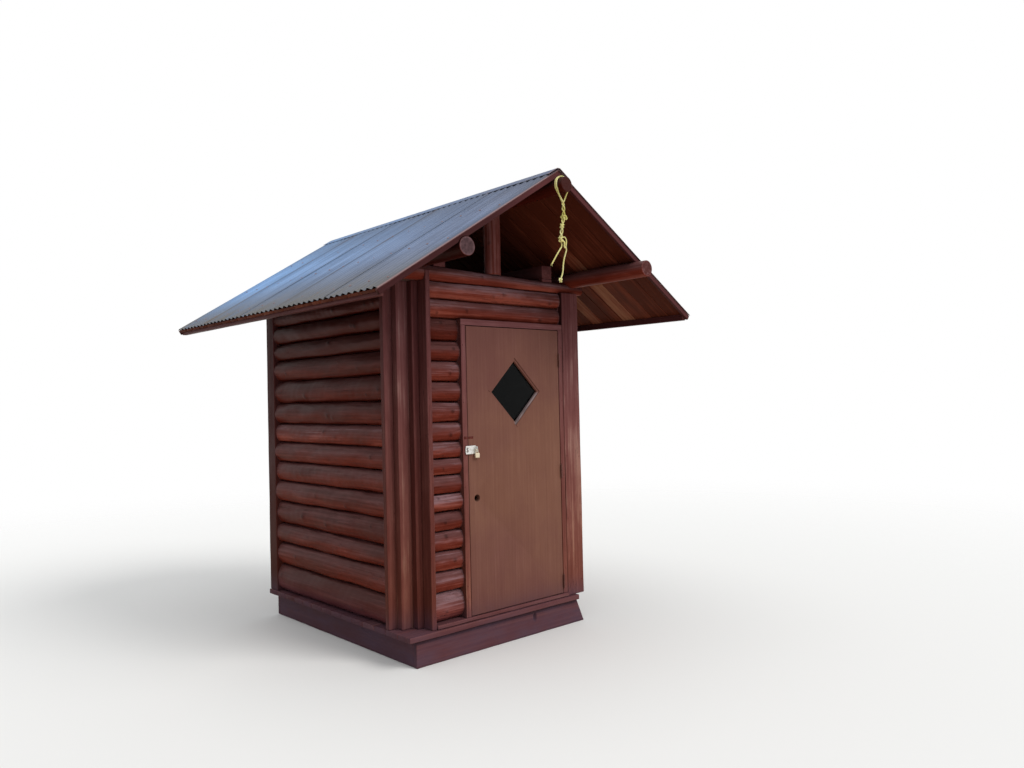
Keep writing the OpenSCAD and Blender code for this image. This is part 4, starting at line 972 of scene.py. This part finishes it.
# The window: a dark pane held between a lip in front and a bead behind, each of four wooden strips
# with mitred corners, nailed into the cut and painted with the door.
def diamond_strips(profile, tones):
    """Four strips round the diamond. The profile gives each corner's distance u in from the cut and its
    depth y, and a point lies at (radius - u sqrt 2) times the diamond's unit outline."""
    side = np.linspace(0, 1, 12, endpoint=False)
    unit = np.array([(-1, 0), (0, -1), (1, 0), (0, 1), (-1, 0)], float)
    outline = np.concatenate([unit[m] + side[:, None] * (unit[m + 1] - unit[m]) for m in range(4)])
    u, y = np.array(profile, float).T[..., None]
    reach = (pane_r - u * math.sqrt(2))[..., None] * outline
    run = np.broadcast_to(np.arange(48) * pane_r * 1.414 / 12, reach.shape[:2])
    rings = np.stack([pane_x + reach[..., 0], y + 0 * run, pane_z + reach[..., 1]], -1)
    wear = np.zeros_like(rings)
    wear[..., 0] = np.repeat(tones, 12)
    wear[..., 1] = wear[..., 0] > 0.5
    return {"rings": rings, "grain": np.stack([run + 7.0, rings[..., 1], u + 0 * run], -1), "wear": wear,
            "loop": True}


lip_y, pane_y, lip_w, bead_w = slab_y0 + 0.006, slab_y0 + 0.024, 0.016, 0.018
lips = [diamond_strips([(0.0002, pane_y), (0.0002, lip_y + 0.001), (0.001, lip_y), (lip_w - 0.003, lip_y),
                        (lip_w - 0.001, lip_y + 0.0008), (lip_w, lip_y + 0.003), (lip_w, pane_y - 0.001),
                        (lip_w - 0.0006, pane_y)], [0.1, 0.8, 0.0, 0.25]),
        diamond_strips([(0.0002, slab_y1), (0.0002, pane_y + 0.004), (bead_w, pane_y + 0.004),
                        (bead_w, slab_y1 - 0.003), (bead_w - 0.003, slab_y1)], [0.2, 0.2, 0.2, 0.2])]
make_piece("window_lips", lips, "door_paint", "window_beads", "door", 30)

finishes["glass"], s = new_material("window_glass")
film = s.noise(s.place(), 7.0, 6.0, 0.7)
# The pane is tinted nearly black, a painted shade for the dark room behind it, under a film of dirt.
tint = s.ramp(film, (0.35, (0.012, 0.024, 0.030)), (0.75, (0.030, 0.050, 0.056)))
s.surface(tint, s.span(film, 0.35, 0.8, 0.04, 0.3), s.bump(film, 0.1, 0.002), Transmission_Weight=1.0,
          Specular_IOR_Level=0.15, IOR=1.18)
pane_edge = [(pane_y, pane_r - 0.0012), (pane_y + 0.0006, pane_r - 0.0003),
             (pane_y + 0.0034, pane_r - 0.0003), (pane_y + 0.004, pane_r - 0.0012)]
pane = turned(pane_edge, (pane_x, 0, pane_z), 1, 4)
make_piece("window_glass_pane", [pane], "glass", "window_pane", "door", 30)


# The metalwork: three butt hinges painted over with the door, a zinc-plated hasp that shuts over a
# staple on the frame, and a small brass padlock hung open from the hasp's eye. All are screwed on.
def metal_material(name, colour, worn, rust, metallic, gloss, metal_worn):
    """Plated or painted metal: fine scratches and patches mix colour with the worn one, rust spots
    come where two noises meet, and both make it rougher."""
    material, s = new_material(name)
    place = s.place()
    patch = s.noise(place, 60.0, 6.0, 0.65)
    fine = s.noise(s.vector("MULTIPLY", place, (900, 900, 60)), 1.0, 3.0)
    bare = s.span(patch, 0.52, 0.66)
    rusty = s.span(s.math("MULTIPLY", patch, s.noise(place, 170.0, 4.0)), 0.33 - 0.06 * rust, 0.42, 0, rust)
    colour = s.mix(rusty, s.mix(bare, colour, worn), (0.16, 0.06, 0.03))
    shine = s.math("MULTIPLY", s.span(bare, 0, 1, metallic, metal_worn), s.math("SUBTRACT", 1.0, rusty))
    rough = s.math("MULTIPLY_ADD", rusty, 0.3, s.math("MULTIPLY_ADD", fine, 0.25, gloss))
    s.surface(colour, rough, s.bump(patch, 0.4, 0.0006), Metallic=shine)
    return material


finishes["hinge_paint"] = metal_material("hinge_paint_over_steel", (0.105, 0.028, 0.02), (0.16, 0.055, 0.04),
                                         0.6, 0.0, 0.4, 0.1)
finishes["hardware"] = metal_material("zinc_plated_steel", (0.74, 0.74, 0.72), (0.60, 0.60, 0.57),
                                      0.35, 0.85, 0.25, 0.9)
finishes["lock_metal"] = metal_material("padlock_brass", (0.72, 0.63, 0.47), (0.62, 0.52, 0.36),
                                        0.15, 0.75, 0.28, 0.9)


def screw_head(x, y, z, radius=0.0042):
    """A domed screw head that looks towards -Y."""
    dome = [(0, 1.0), (-0.18, 0.97), (-0.36, 0.8), (-0.48, 0.5), (-0.5, 0.15)]
    return turned([(a * radius, b * radius) for a, b in dome], (x, y, z), 1, 14)


def barrel(low, high, radius, x, y, chamfer=0.0006, neck=0.0005):
    """An upright pin from low to high round (x, y), with its ends chamfered."""
    return turned([(low, radius - neck), (low + chamfer, radius), (high - chamfer, radius),
                   (high, radius - neck)], (x, y, 0), 2)


draw = np.random.default_rng(71)
axis_x, axis_y, barrel_r, hinge_h, leaf_t, leaf_w = 0.6045, -0.876, 0.006, 0.100, 0.0019, 0.030
knuckle, play = hinge_h / 5, 0.00025
for body, node, leaf_x, turns in (("house", "frame_hinges", 0.6051, (0, 2, 4)),
                                  ("door", "door_hinges", 0.6020, (1, 3))):
    halves = []
    for middle in (0.347, 1.197, 2.055):
        low = middle - hinge_h / 2
        halves.append(board((leaf_x, slab_y0, low), (leaf_x + leaf_t, slab_y0 + leaf_w, low + hinge_h), 2,
                            draw, 0.0004, 0.02, 0.02, 0.0))
        for m in turns:
            z0, z1 = low + m * knuckle + play, low + (m + 1) * knuckle - play
            halves.append(barrel(z0, z1, barrel_r, axis_x, axis_y, neck=0.0006))
            halves.append(board((leaf_x, axis_y, z0), (leaf_x + leaf_t, slab_y0 + 0.001, z1), 2, draw, 0.0003,
                                0.02, 0.01, 0.0))
        for end, way in ((low, -1), (low + hinge_h, 1)) if body == "house" else ():
            halves.append(turned([(end, 0.0046), (end + way * 0.001, 0.0048), (end + way * 0.0022, 0.004),
                                  (end + way * 0.003, 0.0018)], (axis_x, axis_y, 0), 2))
    make_piece(node + "_turned", halves, "hinge_paint", node, body, 35)


def round_cornered(x0, z0, x1, z1, r):
    """Outline of a rectangle whose corners are arcs of radius r, six points each."""
    turn = np.linspace(0, np.pi / 2, 6)
    corners = [(x1 - r, z1 - r), (x0 + r, z1 - r), (x0 + r, z0 + r), (x1 - r, z0 + r)]
    return [(x + r * math.cos(a + m * np.pi / 2), z + r * math.sin(a + m * np.pi / 2))
            for m, (x, z) in enumerate(corners) for a in turn]


hasp_z, hasp_half, hasp_t, pin_x, slot_x, strap_y = 1.414, 0.029, 0.002, -0.282, -0.330, -0.876
plate_edge = round_cornered(pin_x - 0.004, hasp_z - hasp_half, -0.247, hasp_z + hasp_half, 0.003)
sheet_piece("hasp_plate", [plate_edge], -0.867, hasp_t, 0.0005, "hardware", "hasp")
strap_edge = round_cornered(-0.344, hasp_z - hasp_half, pin_x - 0.002, hasp_z + hasp_half, 0.005)
strap_slot = round_cornered(slot_x - 0.008, hasp_z - 0.017, slot_x + 0.008, hasp_z + 0.017, 0.003)
sheet_piece("hasp_strap", [strap_edge, strap_slot], strap_y, hasp_t, 0.0005, "hardware")
# The eye: a squared plate that stands out of the hasp, with a bore for the padlock. Its rings go
# across along the rim and back along the bore, and both are eased a little at their edges.
eye_y, eye_z, eye_r, half_w, half_h = -0.881, 1.418, 0.0045, 0.012, 0.020
turn = np.linspace(0, 2 * np.pi, 32, endpoint=False)
circle = np.array([np.cos(turn), np.sin(turn)])
square = np.clip(1.5 * circle, -1, 1) * [[half_w], [half_h]]
eased = ((-0.249, 0.0004), (-0.2487, 0), (-0.2473, 0), (-0.247, 0.0004))
eye_rings = [np.stack([0 * turn + x, *(square * (1 - ease / half_w) + [[-0.878], [1.417]])], -1)
             for x, ease in eased]
eye_rings += [np.stack([0 * turn + x, *(circle * (eye_r + ease) + [[eye_y], [eye_z]])], -1)
              for x, ease in eased[::-1]]
hasp_parts = [{"rings": np.array(eye_rings), "loop": True}]
hasp_parts += [barrel(low, high, 0.005, pin_x, -0.8715)
               for low, high in ((1.385, 1.4042), (1.4046, 1.4234), (1.4238, 1.443))]
hasp_parts += [screw_head(-0.263 + dx, -0.868, hasp_z + dz)
               for dx, dz in ((0, 0.021), (0.007, -0.022), (-0.008, -0.022))]
make_piece("hasp_eye_and_pin", hasp_parts, "hardware", body="door", sharp=35)


def bent_wire(middle, across, ahead, leg, radius, count):
    """A wire bent to a U: a half circle of count points round middle, which starts at middle + across
    and turns by middle + ahead, with a straight leg at each end."""
    turn = np.linspace(0, np.pi, count)[:, None]
    across, ahead = np.array(across), np.array(ahead)
    bend = middle + np.cos(turn) * across + np.sin(turn) * ahead
    back = leg * ahead / np.linalg.norm(ahead)
    return {"rings": tube(np.concatenate([bend[:1] - back, bend, bend[-1:] - back]), radius)["rings"]}


wire_bend, staple_y = 0.009, -0.880
staple = [bent_wire((slot_x, staple_y, hasp_z), (0, 0, -wire_bend), (0, -wire_bend, 0),
                    front_y - 0.001 - staple_y, 0.0025, 15),
          board((slot_x - 0.012, front_y - 0.0015, hasp_z - 0.017), (slot_x + 0.012, front_y, hasp_z + 0.017),
                2, draw, 0.0004, 0.02, 0.02, 0.0)]
make_piece("staple_bent", staple, "hardware", "staple", sharp=40)

lock_x, shackle_z, lock_half = -0.248, 1.4078, 0.019
lock_top = shackle_z - 0.018
lock = [board((lock_x - lock_half, eye_y - 0.008, lock_top - 0.033),
              (lock_x + lock_half, eye_y + 0.008, lock_top), 2, draw, 0.0022, 0.006, 0.006, 0.0),
        bent_wire((lock_x, eye_y, shackle_z), (wire_bend, 0, 0), (0, 0, wire_bend),
                  shackle_z - lock_top + 0.001, 0.003, 17),
        turned([(lock_top - 0.0325, 0.0058), (lock_top - 0.0336, 0.0056), (lock_top - 0.034, 0.0045)],
               (lock_x, eye_y, 0), 2, 20)]
lock += [turned([(lock_top - 0.0005, 0.0046), (lock_top + 0.0009, 0.0046), (lock_top + 0.0015, 0.0038)],
                (lock_x + s * wire_bend, eye_y, 0), 2, 20) for s in (-1, 1)]
make_piece("padlock_body_and_shackle", lock, "lock_metal", "padlock", "door", 35)

# Small things in the face of the wood: nail heads along the boards, and the torn paint where an older
# latch was.
draw = np.random.default_rng(72)
nail_rows = [((-0.637, 0.672, 0.812), front_y, (0.33, 0.82, 1.31, 1.80, 2.28, 2.52)),
             ((-0.345, 0.634), front_y, (0.45, 1.15, 1.75, 2.15)),
             ((-0.69, -0.10, 0.45, 0.70), skirt_y0, (0.05, 0.145)),
             ((-0.795,), -0.645, (0.4, 1.0, 1.6, 2.2)), ((-0.660,), -0.767, (0.5, 1.1, 1.7, 2.3))]
heads = [screw_head(x + draw.uniform(-0.004, 0.004), y + 0.0004, z + draw.uniform(-0.02, 0.02), 0.0036)
         for xs, y, zs in nail_rows for x in xs for z in zs]
make_piece("nail_heads", heads, "red_board")
for body, edge, far, depth in (("door", slab_x0 + 0.001, -0.267, slab_y0),
                               ("house", -0.351, -0.3185, front_y)):
    x = np.linspace(edge, far, 14)
    jag = draw.uniform(-0.0025, 0.0025, (2, 14))
    torn = list(zip(x, 1.492 + jag[0])) + list(zip(x[::-1], 1.509 + jag[1]))
    sheet_piece(body + "_old_latch_mark", [torn], depth, 0.0008, 0.0002, "red_board", body=body,
                material=finishes["red_log"])
